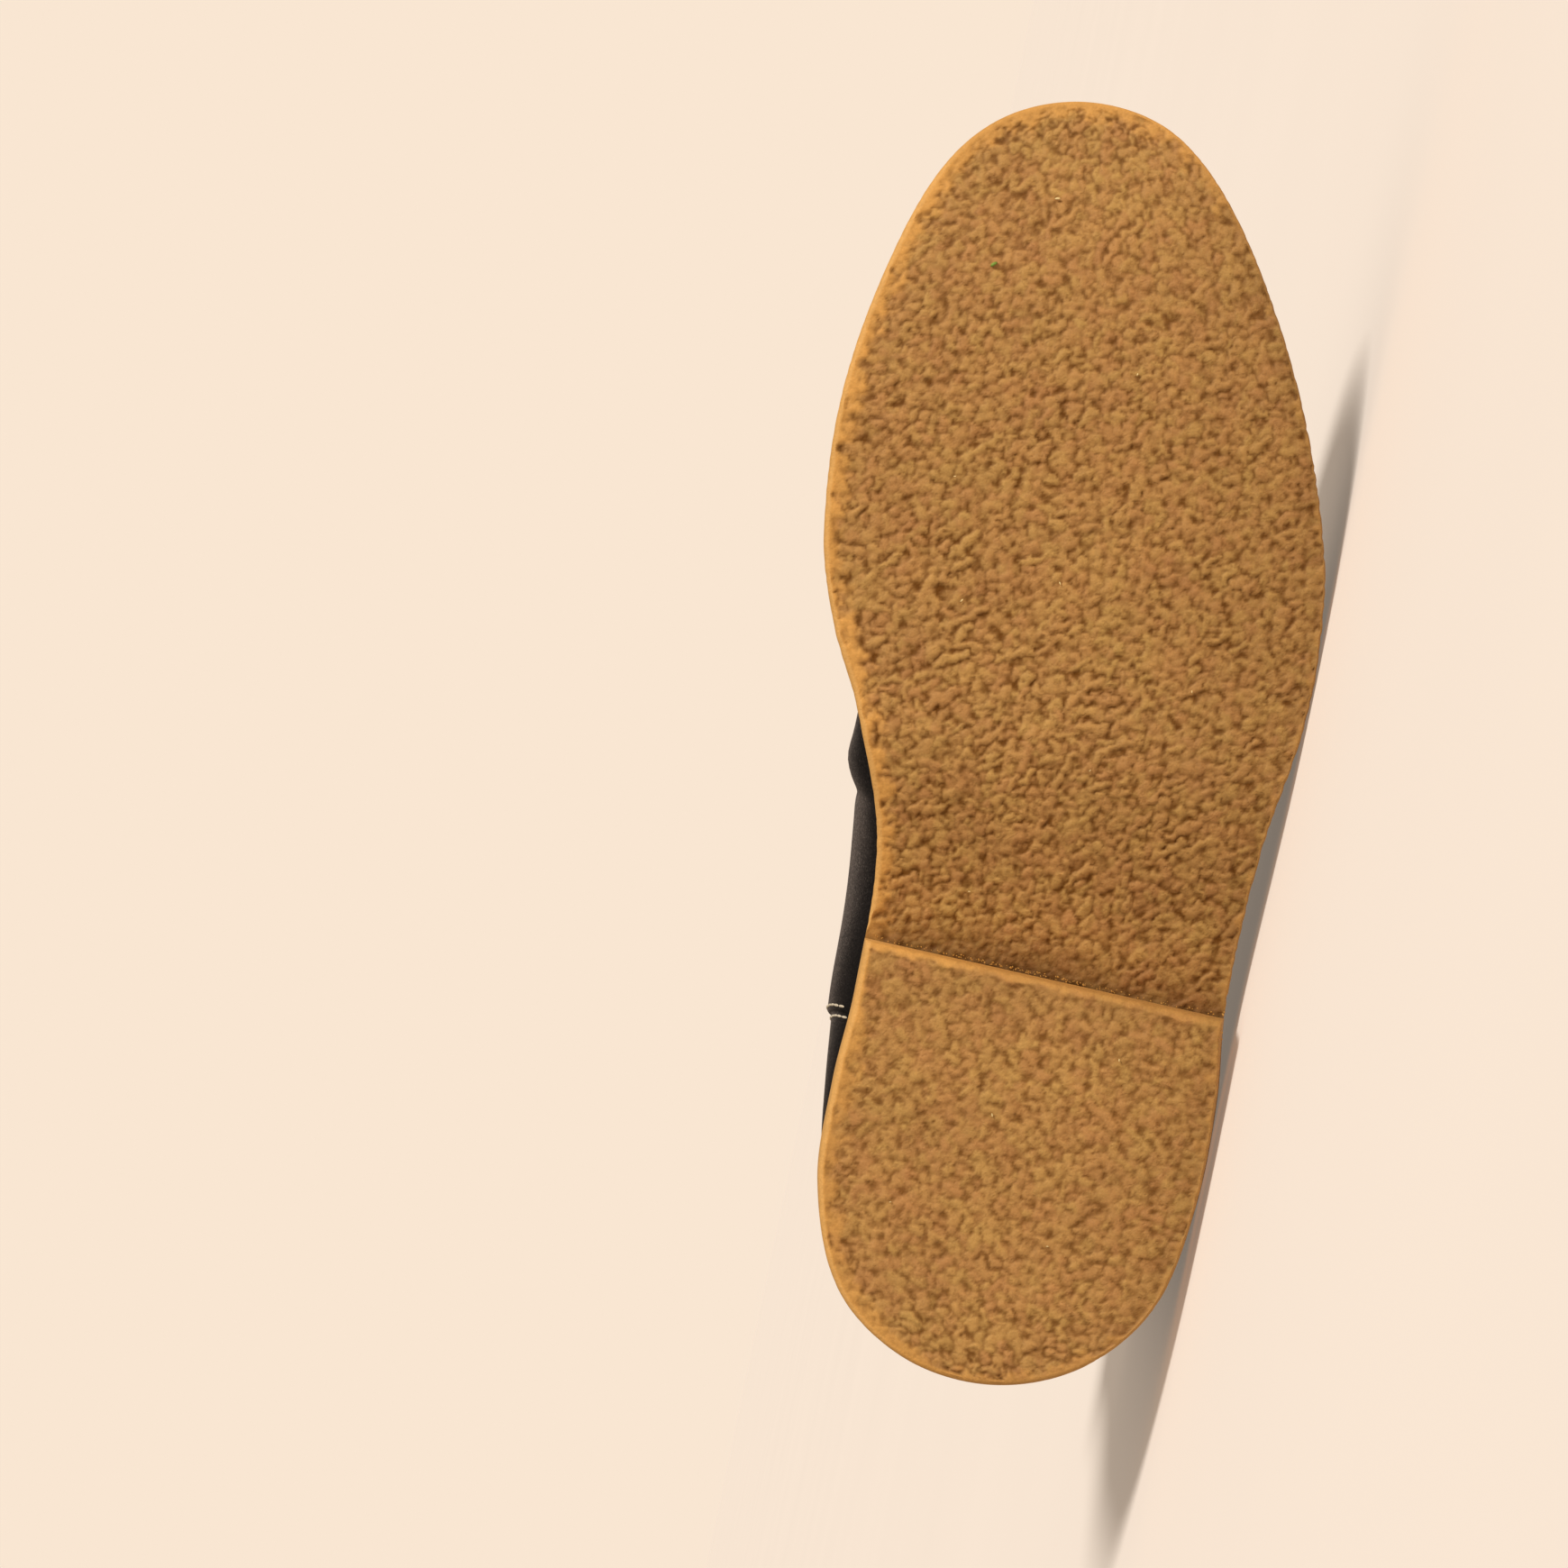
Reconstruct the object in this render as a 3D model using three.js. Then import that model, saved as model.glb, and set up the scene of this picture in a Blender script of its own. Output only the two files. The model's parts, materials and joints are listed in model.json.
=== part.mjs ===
// Left pull-on ankle boot: a suede upper with elastic side gussets on a crepe outsole and heel.
// Sizes are millimetres. The boot is shaped as it stands, +X to the toe, +Y to the outer side and +Z up,
// and is then laid on its outer side, as it rests, with the sole facing -Y.

import * as THREE from 'three';
import { ConvexHull } from 'three/addons/math/ConvexHull.js';

// Sole and heel
const soleLength = 294;
const ballWidth = 113;
const soleThickness = 9;
const heelHeight = 13;
const heelLength = 93;
const breastSlant = 14;
const heelTaper = 0.8;
const toeSpring = 12;
const springPower = 1.8;
const edgeBevel = 1.6;
const bevelTurn = 0.3;
const topRound = 1;

// Upper, with heights above the sole that carries them
const upperWall = 2;
const featherInset = 1.6;
const shaftFront = 120;
const shaftBack = 114;
const shaftDip = 5;
const collarLength = 108;
const collarWidth = 74;
const collarBackInset = 7;
const toeBoxHeight = 32;

// Side seams and gussets
const lapHeight = 1.1;
const lapFade = 22;
const seamStep = 0.8;
const gussetTopWidth = 46;
const gussetFootWidth = 27;
const gussetThickness = 1.4;
const gussetSink = 0.7;

// Insole and fit
const insoleThickness = 3;
const clearance = 0.3;

// Densities, in grams per cubic centimetre
const crepeDensity = 0.93;
const suedeDensity = 0.9;
const elasticDensity = 0.6;
const insoleDensity = 0.4;

// Where things lie, as shares of the sole's length from the heel
const treadStart = 0.5;
const treadEnd = 0.72;
const slantEnd = 0.62;
const bevelRun = 0.03;
const seamAt = 0.259;
const collarMiddleAt = 0.2;
const collarFrontAt = 0.47;

const breastShare = heelLength / soleLength;

// Share of the wall's height, from the sole up, at which the gussets begin, and the share of a gusset's own
// height over which its foot is round
const gussetFootAt = 0.42;
const footShare = 0.2;

// A small step along a row or a climb, for finding directions, and a longer one for finding lengths
const nudge = 1e-3;
const stride = 0.02;

// Where rows meet in a point, their own direction out is lost and falls below this share of the average
const meetingPoint = 0.8;

// Rows and columns of the meshes
const rearRows = 15;
const frontRows = 8;
const ridgeRows = 26;
const seamColumns = 7;
const footColumns = 4;
const shaftColumns = 6;
const gussetColumns = 8;
const forepartRows = 36;
const heelRows = 20;

const INNER = -1;
const OUTER = 1;
const UP = new THREE.Vector3(0, 0, 1);

// A table keeps one list of numbers for each named column, and its places as angles round the outline
function table(columns, rows) {
  const lists = Object.fromEntries(columns.map((name, k) => [name, rows.map((row) => row[k])]));
  return { ...lists, angle: lists.at.map(angleAt) };
}

// Outline of the sole: centre line and half width, as shares of the ball width
const outline = table(['at', 'centre', 'half'], [
  [0, -0.027, 0],
  [0.02, -0.027, 0.194],
  [0.07, -0.026, 0.326],
  [0.15, -0.016, 0.386],
  [0.23, 0.009, 0.39],
  [0.3, 0.03, 0.376],
  [0.42, 0.07, 0.386],
  [0.52, 0.08, 0.448],
  [0.58, 0.065, 0.486],
  [0.65, 0.05, 0.502],
  [0.76, 0.033, 0.464],
  [0.88, 0.024, 0.361],
  [0.95, 0.02, 0.26],
  [0.985, 0.022, 0.157],
  [1, 0.022, 0],
]);

// Place round the collar, from its back, that each rear section of the upper climbs to, in degrees
const collarTurns = table(['at', 'turn'], [
  [0, 0],
  [0.04, 28],
  [0.13, 56],
  [seamAt, 98],
  [0.38, 140],
  [collarFrontAt, 180],
]);

// Ridge down the front: how far along the sole it is, its height from the toe box to the collar, and its
// shift to the outer side, as shares of the sole's length, of that height and of the ball width
const ridge = table(['at', 'along', 'height', 'shift'], [
  [collarFrontAt, 0.394, 1, 0],
  [0.5, 0.404, 0.82, -0.004],
  [0.54, 0.43, 0.63, -0.012],
  [0.58, 0.468, 0.485, -0.02],
  [0.63, 0.525, 0.352, -0.02],
  [0.69, 0.6, 0.235, -0.012],
  [0.76, 0.682, 0.148, 0],
  [0.84, 0.765, 0.085, 0.012],
  [0.92, 0.833, 0.04, 0.02],
  [1, 0.892, 0, 0.022],
]);

// Walls of the upper: lean outwards at the sole on each side, length of that start, the direction in which
// the wall meets its top, length of that end, and lean outwards at the collar. Leans and directions are
// degrees, a direction of 0 runs straight across the ridge, and lengths are shares of the wall's height.
const walls = table(['at', 'inner', 'outer', 'start', 'across', 'end', 'collar'], [
  [0, 14, 14, 0.3, 90, 0.36, 8],
  [0.1, 12, 12, 0.3, 90, 0.36, 7],
  [0.2, 24, 8, 0.3, 90, 0.36, 5],
  [0.3, 38, 8, 0.31, 86, 0.36, 2],
  [0.4, 33, 8, 0.35, 72, 0.3, -2],
  [0.47, 23, 9, 0.38, 48, 0.18, -5],
  [0.56, 11, 10, 0.4, 24, 0.25, -5],
  [0.65, 11, 9, 0.4, 6, 0.37, -5],
  [0.76, 10, 10, 0.41, 0, 0.43, -5],
  [0.88, 11, 11, 0.43, 30, 0.45, -5],
  [1, 12, 12, 0.44, 90, 0.5, -5],
]);

function clamp(value, low, high) {
  return Math.min(high, Math.max(low, value));
}

function mix(a, b, t) {
  return a + (b - a) * t;
}

function ease(t) {
  const s = clamp(t, 0, 1);
  return s * s * (3 - 2 * s);
}

function angleAt(share) {
  return Math.acos(1 - 2 * clamp(share, 0, 1));
}

function shareAt(angle) {
  return (1 - Math.cos(angle)) / 2;
}

// Smooth curve through one column of a table, read at an angle round the outline
function read(from, column, angle) {
  const xs = from.angle;
  const ys = from[column];
  const last = xs.length - 1;
  const x = clamp(angle, xs[0], xs[last]);
  const k = clamp(xs.findIndex((edge) => edge >= x) - 1, 0, last - 1);
  const slope = (i) => {
    const a = Math.max(0, i - 1);
    const b = Math.min(last, i + 1);
    return (ys[b] - ys[a]) / (xs[b] - xs[a]);
  };
  const span = xs[k + 1] - xs[k];
  const t = (x - xs[k]) / span;
  const stepUp = ease(t);
  const curl = t * (1 - t);
  const bend = curl * ((1 - t) * slope(k) - t * slope(k + 1)) * span;
  return mix(ys[k], ys[k + 1], stepUp) + bend;
}

// Slant of the sole's rows: none at the ends and all of the breast's slant at the heel breast
function rowSlant(share) {
  const fade = share < breastShare ? share / breastShare : (slantEnd - share) / (slantEnd - breastShare);
  return (breastSlant / soleLength) * ease(fade);
}

// Point of the sole's outline in plan, moved inwards by an inset, with its outward direction
function edge(side, angle, inset) {
  const plan = (turn) => {
    const share = shareAt(turn);
    const own = share - (side * rowSlant(share)) / 2;
    const round = angleAt(own);
    const across = read(outline, 'centre', round) + side * read(outline, 'half', round);
    return new THREE.Vector3(own * soleLength, across * ballWidth, 0);
  };
  const outward = new THREE.Vector3(angle < Math.PI / 2 ? -1 : 1, 0, 0);
  if (angle > nudge && angle < Math.PI - nudge) {
    const run = plan(angle + nudge).sub(plan(angle - nudge));
    outward.set(-run.y, run.x, 0).multiplyScalar(side).normalize();
  }
  const point = plan(angle).addScaledVector(outward, -inset);
  return { point, outward };
}

// Height of the tread above the ground: the arch behind the ball, and the spring under the toes
function treadHeight(share) {
  const arch = clamp((treadStart - share) / (treadStart - breastShare), 0, 1);
  const spring = clamp((share - treadEnd) / (1 - treadEnd), 0, 1);
  return heelHeight * ease(arch) + toeSpring * spring ** springPower;
}

function soleTop(share) {
  return treadHeight(share) + soleThickness;
}

// Points and faces of one closed body, with points that coincide kept once
class Body {
  constructor() {
    this.points = [];
    this.faces = [];
    this.known = new Map();
  }

  point(position) {
    const key = [position.x, position.y, position.z].map((n) => Math.round(n * 1000)).join();
    if (!this.known.has(key)) {
      this.known.set(key, this.points.length);
      this.points.push(position);
    }
    return this.known.get(key);
  }

  face(a, b, c) {
    if (a !== b && b !== c && c !== a) this.faces.push([a, b, c]);
  }

  quad(a, b, c, d) {
    this.face(a, b, c);
    this.face(a, c, d);
  }

  geometry() {
    const shape = new THREE.BufferGeometry();
    shape.setFromPoints(this.points);
    shape.setIndex(this.faces.flat());
    shape.computeVertexNormals();
    return shape;
  }
}

// Flat-sided plate that follows the sole's rows: each ring has an inset, the end of its rows and a height
function plate(spacing, rings) {
  const body = new Body();
  const loops = rings.map(({ inset, end, height }) => {
    const side = (name) => spacing.map((angle) => {
      const share = shareAt(angle) * end;
      const { point } = edge(name, angleAt(share), inset(share));
      point.z = height(share);
      return body.point(point);
    });
    return { inner: side(INNER), outer: side(OUTER) };
  });
  const last = spacing.length - 1;
  const first = loops[0];
  const top = loops[loops.length - 1];
  for (let i = 0; i < last; i++) {
    body.quad(first.inner[i], first.outer[i], first.outer[i + 1], first.inner[i + 1]);
    body.quad(top.inner[i], top.inner[i + 1], top.outer[i + 1], top.outer[i]);
  }
  for (let k = 0; k + 1 < loops.length; k++) {
    const low = loops[k];
    const high = loops[k + 1];
    for (let i = 0; i < last; i++) {
      body.quad(low.inner[i + 1], high.inner[i + 1], high.inner[i], low.inner[i]);
      body.quad(low.outer[i], high.outer[i], high.outer[i + 1], low.outer[i + 1]);
    }
    body.quad(low.outer[last], high.outer[last], high.inner[last], low.inner[last]);
  }
  return body.geometry();
}

function steps(count, total) {
  return Array.from({ length: count + 1 }, (_, i) => (total * i) / count);
}

const heelAngles = steps(heelRows, angleAt(breastShare));
const forepartAngles = steps(forepartRows, Math.PI - angleAt(breastShare)).slice(1);
const soleAngles = [...heelAngles, ...forepartAngles.map((angle) => angle + angleAt(breastShare))];

// The outsole's lower edge is square where the heel is glued to it, and bevelled ahead of the heel
function outsoleShape() {
  const fade = (share) => ease((share - breastShare) / bevelRun);
  const ring = (inset, rise) => ({ inset, end: 1, height: (share) => treadHeight(share) + rise });
  return plate(soleAngles, [
    ring((share) => edgeBevel * fade(share), 0),
    ring((share) => edgeBevel * bevelTurn * fade(share), edgeBevel * bevelTurn),
    ring(() => 0, edgeBevel),
    ring(() => 0, soleThickness - topRound),
    ring(() => topRound, soleThickness),
  ]);
}

function heelShape() {
  const top = heelHeight - clearance;
  const ring = (bevel, rise) => ({
    inset: () => bevel + heelTaper * (1 - rise / top),
    end: 1 - bevel / heelLength,
    height: () => rise,
  });
  return plate(heelAngles, [
    ring(edgeBevel, 0),
    ring(edgeBevel * bevelTurn, edgeBevel * bevelTurn),
    ring(0, edgeBevel),
    ring(0, top),
  ]);
}

function insoleShape() {
  const inset = featherInset + upperWall + clearance;
  const ring = (rise) => ({ inset: () => inset, end: 1, height: (share) => soleTop(share) + rise });
  return plate(soleAngles, [ring(clearance), ring(clearance + insoleThickness)]);
}

// Point of the collar at a turn from its back, with the directions that lead out of it and round it
function collarPoint(side, turn) {
  const round = new THREE.Vector3(-Math.cos(turn), side * Math.sin(turn), 0);
  const long = collarLength / 2;
  const wide = collarWidth / 2;
  const seat = heelHeight + soleThickness;
  const rise = mix(shaftBack, shaftFront, (1 - Math.cos(turn)) / 2) - shaftDip * Math.sin(turn) ** 2;
  const point = new THREE.Vector3(
    collarBackInset + long + long * round.x,
    read(outline, 'centre', angleAt(collarMiddleAt)) * ballWidth + wide * round.y,
    seat + rise,
  );
  const outward = new THREE.Vector3(round.x / long, round.y / wide, 0).normalize();
  const around = new THREE.Vector3(-side * outward.y, side * outward.x, 0);
  return { point, outward, around };
}

// Point of the ridge, between the collar's front and the toe box
function ridgePoint(angle) {
  const toe = soleTop(ridge.along.at(-1)) + toeBoxHeight;
  const collar = collarPoint(OUTER, Math.PI).point;
  const along = read(ridge, 'along', angle) - ridge.along[0];
  const reach = (soleLength * ridge.along.at(-1) - collar.x) / (ridge.along.at(-1) - ridge.along[0]);
  return new THREE.Vector3(
    collar.x + along * reach,
    collar.y + read(ridge, 'shift', angle) * ballWidth,
    mix(toe, collar.z, read(ridge, 'height', angle)),
  );
}

// Outer surface of the upper: a section for each angle round the outline, climbed from 0 to 1
function upperPoint(side, angle, climb) {
  const degrees = (column) => THREE.MathUtils.degToRad(read(walls, column, angle));
  const { point: foot, outward } = edge(side, angle, featherInset);
  foot.z = soleTop(shareAt(angle)) + clearance;
  const across = degrees('across');
  const arrival = new THREE.Vector3();
  let top;
  if (angle <= frontAngle) {
    const collar = collarPoint(side, THREE.MathUtils.degToRad(read(collarTurns, 'turn', angle)));
    const lean = degrees('collar');
    top = collar.point;
    arrival.addScaledVector(UP, -Math.cos(lean)).addScaledVector(collar.outward, -Math.sin(lean));
    arrival.multiplyScalar(Math.sin(across)).addScaledVector(collar.around, Math.cos(across));
  } else {
    const sideways = new THREE.Vector3(0, side, 0);
    top = ridgePoint(angle);
    arrival.copy(ridgePoint(Math.min(Math.PI, angle + nudge))).sub(ridgePoint(angle - nudge)).normalize();
    arrival.multiplyScalar(Math.sin(across)).addScaledVector(sideways, Math.cos(across));
  }
  const height = top.distanceTo(foot);
  const lean = degrees(side === INNER ? 'inner' : 'outer');
  const start = foot.clone()
    .addScaledVector(outward, Math.sin(lean) * read(walls, 'start', angle) * height)
    .addScaledVector(UP, Math.cos(lean) * read(walls, 'start', angle) * height);
  const end = top.clone().addScaledVector(arrival, read(walls, 'end', angle) * height);
  return new THREE.CubicBezierCurve3(foot, start, end, top).getPoint(climb);
}

// Direction out of the upper's surface, or none where its rows meet in a point
function upperNormal(side, angle, climb) {
  const [a, b] = [Math.max(0, angle - nudge), Math.min(Math.PI, angle + nudge)];
  const [low, high] = [Math.max(0, climb - nudge), Math.min(1, climb + nudge)];
  const along = upperPoint(side, b, climb).sub(upperPoint(side, a, climb));
  const up = upperPoint(side, angle, high).sub(upperPoint(side, angle, low));
  return up.cross(along).multiplyScalar(side).normalize();
}

const seamAngle = angleAt(seamAt);
const frontAngle = angleAt(collarFrontAt);

// Millimetres along the upper for one radian of its outline angle, from a start ahead of the seam or behind
function stretch(side, climb, way, start = 0) {
  const from = upperPoint(side, seamAngle + way * start, climb);
  return from.distanceTo(upperPoint(side, seamAngle + way * (start + stride), climb)) / stride;
}

// Half width of the gusset opening at a climb, round at its foot, with half the seam's step below it
function openingHalf(climb) {
  const up = clamp((climb - gussetFootAt) / (1 - gussetFootAt), 0, 1);
  const round = clamp(up / footShare, 0, 1);
  const width = mix(gussetFootWidth, gussetTopWidth, up) * Math.sqrt(1 - (1 - round) ** 2);
  return Math.max(seamStep, width) / 2;
}

// Climbs of the upper's columns: even up to the gusset's foot, close round it, and even up to the collar
const seamClimbs = steps(seamColumns, gussetFootAt).slice(0, -1);
const footClimbs = steps(footColumns, Math.PI / 2).map((a) => footShare * (1 - Math.cos(a)));
const shaftClimbs = steps(shaftColumns, 1 - footShare).map((a) => footShare + a).slice(1);
const openClimbs = [...footClimbs, ...shaftClimbs].map((up) => mix(gussetFootAt, 1, up));
const climbs = [...seamClimbs, ...openClimbs];

// Angle of a row of the upper, pushed aside by the gusset opening
function rowAngle(side, row, climb) {
  const way = row.offset > 0 || row.lapped ? 1 : -1;
  const room = way > 0 ? frontAngle - seamAngle : seamAngle;
  const half = openingHalf(climb) / stretch(side, climb, way);
  const offset = Math.abs(row.offset);
  if (offset >= room) return seamAngle + row.offset;
  return seamAngle + way * (half + offset * (1 - half / room));
}

// Rows of the upper: behind the seam, ahead of it up to the collar's front, and down the ridge
function upperRows() {
  const behind = steps(rearRows, seamAngle).map((a) => ({ offset: a - seamAngle, lapped: false }));
  const ahead = steps(frontRows, frontAngle - seamAngle).map((a) => ({ offset: a, lapped: true }));
  const down = steps(ridgeRows, Math.PI - frontAngle).slice(1);
  const front = down.map((a) => ({ offset: frontAngle - seamAngle + a, lapped: true }));
  return [...behind, ...ahead, ...front];
}

// Turns an outer surface into a wall: its points carry their direction out, a lift along it and whether
// their rim is level
function wallShape(sheet, tags, thickness) {
  const skin = sheet.geometry();
  const normals = skin.getAttribute('normal');
  const body = new Body();
  const outside = [];
  const inside = [];
  sheet.points.forEach((point, i) => {
    const average = new THREE.Vector3().fromBufferAttribute(normals, i);
    const normal = tags[i].normal.dot(average) > meetingPoint ? tags[i].normal.clone() : average;
    if (tags[i].level) normal.setZ(0).normalize();
    const { lift } = tags[i];
    outside.push(body.points.push(point.clone().addScaledVector(normal, lift)) - 1);
    inside.push(body.points.push(point.clone().addScaledVector(normal, lift - thickness(tags[i]))) - 1);
  });
  const rims = new Set();
  for (const [a, b, c] of sheet.faces) {
    body.face(outside[a], outside[b], outside[c]);
    body.face(inside[c], inside[b], inside[a]);
    for (const [from, to] of [[a, b], [b, c], [c, a]]) {
      if (!rims.delete(`${to},${from}`)) rims.add(`${from},${to}`);
    }
  }
  for (const rim of rims) {
    const [from, to] = rim.split(',').map(Number);
    body.quad(outside[to], outside[from], inside[from], inside[to]);
  }
  return body.geometry();
}

function upperShape() {
  const sheet = new Body();
  const tags = [];
  const rows = upperRows();
  const seamRow = rearRows;
  for (const side of [INNER, OUTER]) {
    const grid = rows.map((row) => climbs.map((climb, j) => {
      const angle = rowAngle(side, row, climb);
      const ahead = row.offset * stretch(side, 0, 1);
      const lift = row.lapped ? lapHeight * (1 - ease(ahead / lapFade)) : 0;
      const last = j === climbs.length - 1;
      const level = j === 0 || (last && row.offset <= frontAngle - seamAngle);
      const id = sheet.point(upperPoint(side, angle, climb));
      tags[id] = { lift, level, normal: upperNormal(side, angle, climb) };
      return id;
    }));
    for (let i = 0; i + 1 < rows.length; i++) {
      for (let j = 0; j + 1 < climbs.length; j++) {
        if (i === seamRow && j >= seamColumns) continue;
        const ring = [grid[i][j], grid[i + 1][j], grid[i + 1][j + 1], grid[i][j + 1]];
        if (side === OUTER) ring.reverse();
        sheet.quad(...ring);
      }
    }
  }
  return wallShape(sheet, tags, (tag) => upperWall + tag.lift);
}

function gussetShape(side) {
  const sheet = new Body();
  const tags = [];
  const grid = openClimbs.slice(1).map((climb) => steps(gussetColumns, 2).map((step) => {
    const way = step < 1 ? -1 : 1;
    const half = openingHalf(climb) / stretch(side, climb, way);
    const reach = half - clearance / stretch(side, climb, way, half);
    const angle = seamAngle + (step - 1) * reach;
    const id = sheet.point(upperPoint(side, angle, climb));
    tags[id] = { lift: -gussetSink, level: false, normal: upperNormal(side, angle, climb) };
    return id;
  }));
  for (let j = 0; j + 1 < grid.length; j++) {
    for (let i = 0; i < gussetColumns; i++) {
      const ring = [grid[j][i], grid[j][i + 1], grid[j + 1][i + 1], grid[j + 1][i]];
      if (side === OUTER) ring.reverse();
      sheet.quad(...ring);
    }
  }
  return wallShape(sheet, tags, () => gussetThickness);
}

function piece(name, shape, finish, density) {
  const mesh = new THREE.Mesh(shape, new THREE.MeshStandardMaterial({ ...finish, metalness: 0 }));
  mesh.name = name;
  mesh.userData.density = density;
  return mesh;
}

const crepe = { color: 0x9c5f2b, roughness: 0.8 };
const suede = { color: 0x3b3534, roughness: 0.95 };
const elastic = { color: 0x1d1b1b, roughness: 0.85 };
const lining = { color: 0xb59b78, roughness: 0.9 };

const boot = new THREE.Group();
boot.add(
  piece('outsole', outsoleShape(), crepe, crepeDensity),
  piece('heel', heelShape(), crepe, crepeDensity),
  piece('upper', upperShape(), suede, suedeDensity),
  piece('gusset_inner', gussetShape(INNER), elastic, elasticDensity),
  piece('gusset_outer', gussetShape(OUTER), elastic, elasticDensity),
  piece('insole', insoleShape(), lining, insoleDensity),
);

// Centre of mass of the pieces, from the signed volumes under their faces
function massCentre(meshes) {
  const centre = new THREE.Vector3();
  let mass = 0;
  for (const mesh of meshes) {
    const corners = mesh.geometry.toNonIndexed().getAttribute('position');
    for (let i = 0; i < corners.count; i += 3) {
      const [a, b, c] = [0, 1, 2].map((k) => new THREE.Vector3().fromBufferAttribute(corners, i + k));
      const part = (mesh.userData.density * a.dot(b.clone().cross(c))) / 6;
      centre.addScaledVector(a.add(b).add(c), part / 4);
      mass += part;
    }
  }
  return centre.divideScalar(mass);
}

// Face of the boot's hull that it rests on when laid on its outer side: the one under its centre of mass
function restingNormal(meshes) {
  const points = meshes.flatMap((mesh) => {
    const corners = mesh.geometry.getAttribute('position');
    const numbers = [...Array(corners.count).keys()];
    return numbers.map((i) => new THREE.Vector3().fromBufferAttribute(corners, i));
  });
  const start = massCentre(meshes);
  let nearest = Infinity;
  let normal;
  for (const face of new ConvexHull().setFromPoints(points).faces) {
    const distance = (face.constant - face.normal.dot(start)) / face.normal.y;
    if (face.normal.y > 0 && distance < nearest) {
      nearest = distance;
      normal = face.normal;
    }
  }
  return normal;
}

function layOnOuterSide(group) {
  const down = UP.clone().negate();
  group.quaternion.setFromUnitVectors(restingNormal(group.children), down);
  const toe = new THREE.Vector3(1, 0, 0).applyQuaternion(group.quaternion);
  const spin = new THREE.Quaternion().setFromAxisAngle(UP, -Math.atan2(toe.y, toe.x));
  group.quaternion.premultiply(spin);
  group.updateMatrixWorld(true);
  const box = new THREE.Box3().setFromObject(group, true);
  const middle = box.getCenter(new THREE.Vector3());
  group.position.set(-middle.x, -middle.y, -box.min.z);
}

layOnOuterSide(boot);

const part = new THREE.Group();
part.add(boot);

export default part;
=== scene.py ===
"""Looks of a left pull-on ankle boot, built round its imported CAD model.

Boot coordinates are millimetres as the boot stands: along to the toe, across to the outer side, and up
from the tread. Blender's are metres in the row frame, in which the boot lies on its outer side.
"""

import json
import logging
import math
from dataclasses import dataclass
from enum import Enum

import bmesh
import bpy
import numpy as np
from mathutils import Matrix, Vector, kdtree
from mathutils.bvhtree import BVHTree


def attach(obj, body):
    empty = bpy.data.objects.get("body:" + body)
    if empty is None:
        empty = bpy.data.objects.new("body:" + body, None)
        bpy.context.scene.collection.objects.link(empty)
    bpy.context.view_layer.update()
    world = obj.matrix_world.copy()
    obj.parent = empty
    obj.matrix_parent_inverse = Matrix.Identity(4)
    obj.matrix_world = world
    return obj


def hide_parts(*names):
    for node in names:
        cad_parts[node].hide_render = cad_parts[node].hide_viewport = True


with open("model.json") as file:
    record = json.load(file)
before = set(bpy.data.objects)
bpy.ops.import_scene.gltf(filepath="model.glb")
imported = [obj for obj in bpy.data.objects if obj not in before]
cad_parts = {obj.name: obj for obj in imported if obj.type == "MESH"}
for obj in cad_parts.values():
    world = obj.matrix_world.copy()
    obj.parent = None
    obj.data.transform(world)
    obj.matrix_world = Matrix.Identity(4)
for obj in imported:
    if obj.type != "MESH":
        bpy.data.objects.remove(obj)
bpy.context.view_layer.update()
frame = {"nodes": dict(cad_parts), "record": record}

LOG = logging.getLogger("boot")
MM = 0.001
BODY = "root"

Array = np.ndarray
Piece = bpy.types.Object
Material = bpy.types.Material
Socket = bpy.types.NodeSocket
Pair = tuple[float, float]
Triple = tuple[float, float, float]


class Side(Enum):
    """Side of the boot, with the sign of its across coordinate."""

    INNER = -1
    OUTER = 1


class Slot(Enum):
    """Material slots of the record."""

    CREPE = "crepe"
    SUEDE = "suede"
    ELASTIC = "elastic"
    FOOTBED = "footbed"


def ease(t: Array) -> Array:
    """Smooth step from 0 to 1."""
    s = np.clip(t, 0, 1)
    return s * s * (3 - 2 * s)


def unit(vector: Array) -> Array:
    """A vector's direction."""
    return vector / np.linalg.norm(vector)


def run_of(line: Array) -> Array:
    """How far along a line each of its points is."""
    return np.concatenate([[0], np.cumsum(np.linalg.norm(np.diff(line, axis=0), axis=1))])


def read_line(at: Array | float, run: Array, rows: Array) -> Array:
    """Rows of values in between, for distances along a line that has them at its points."""
    return np.stack([np.interp(at, run, column) for column in rows.T], axis=-1)


# ---- frame


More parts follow.
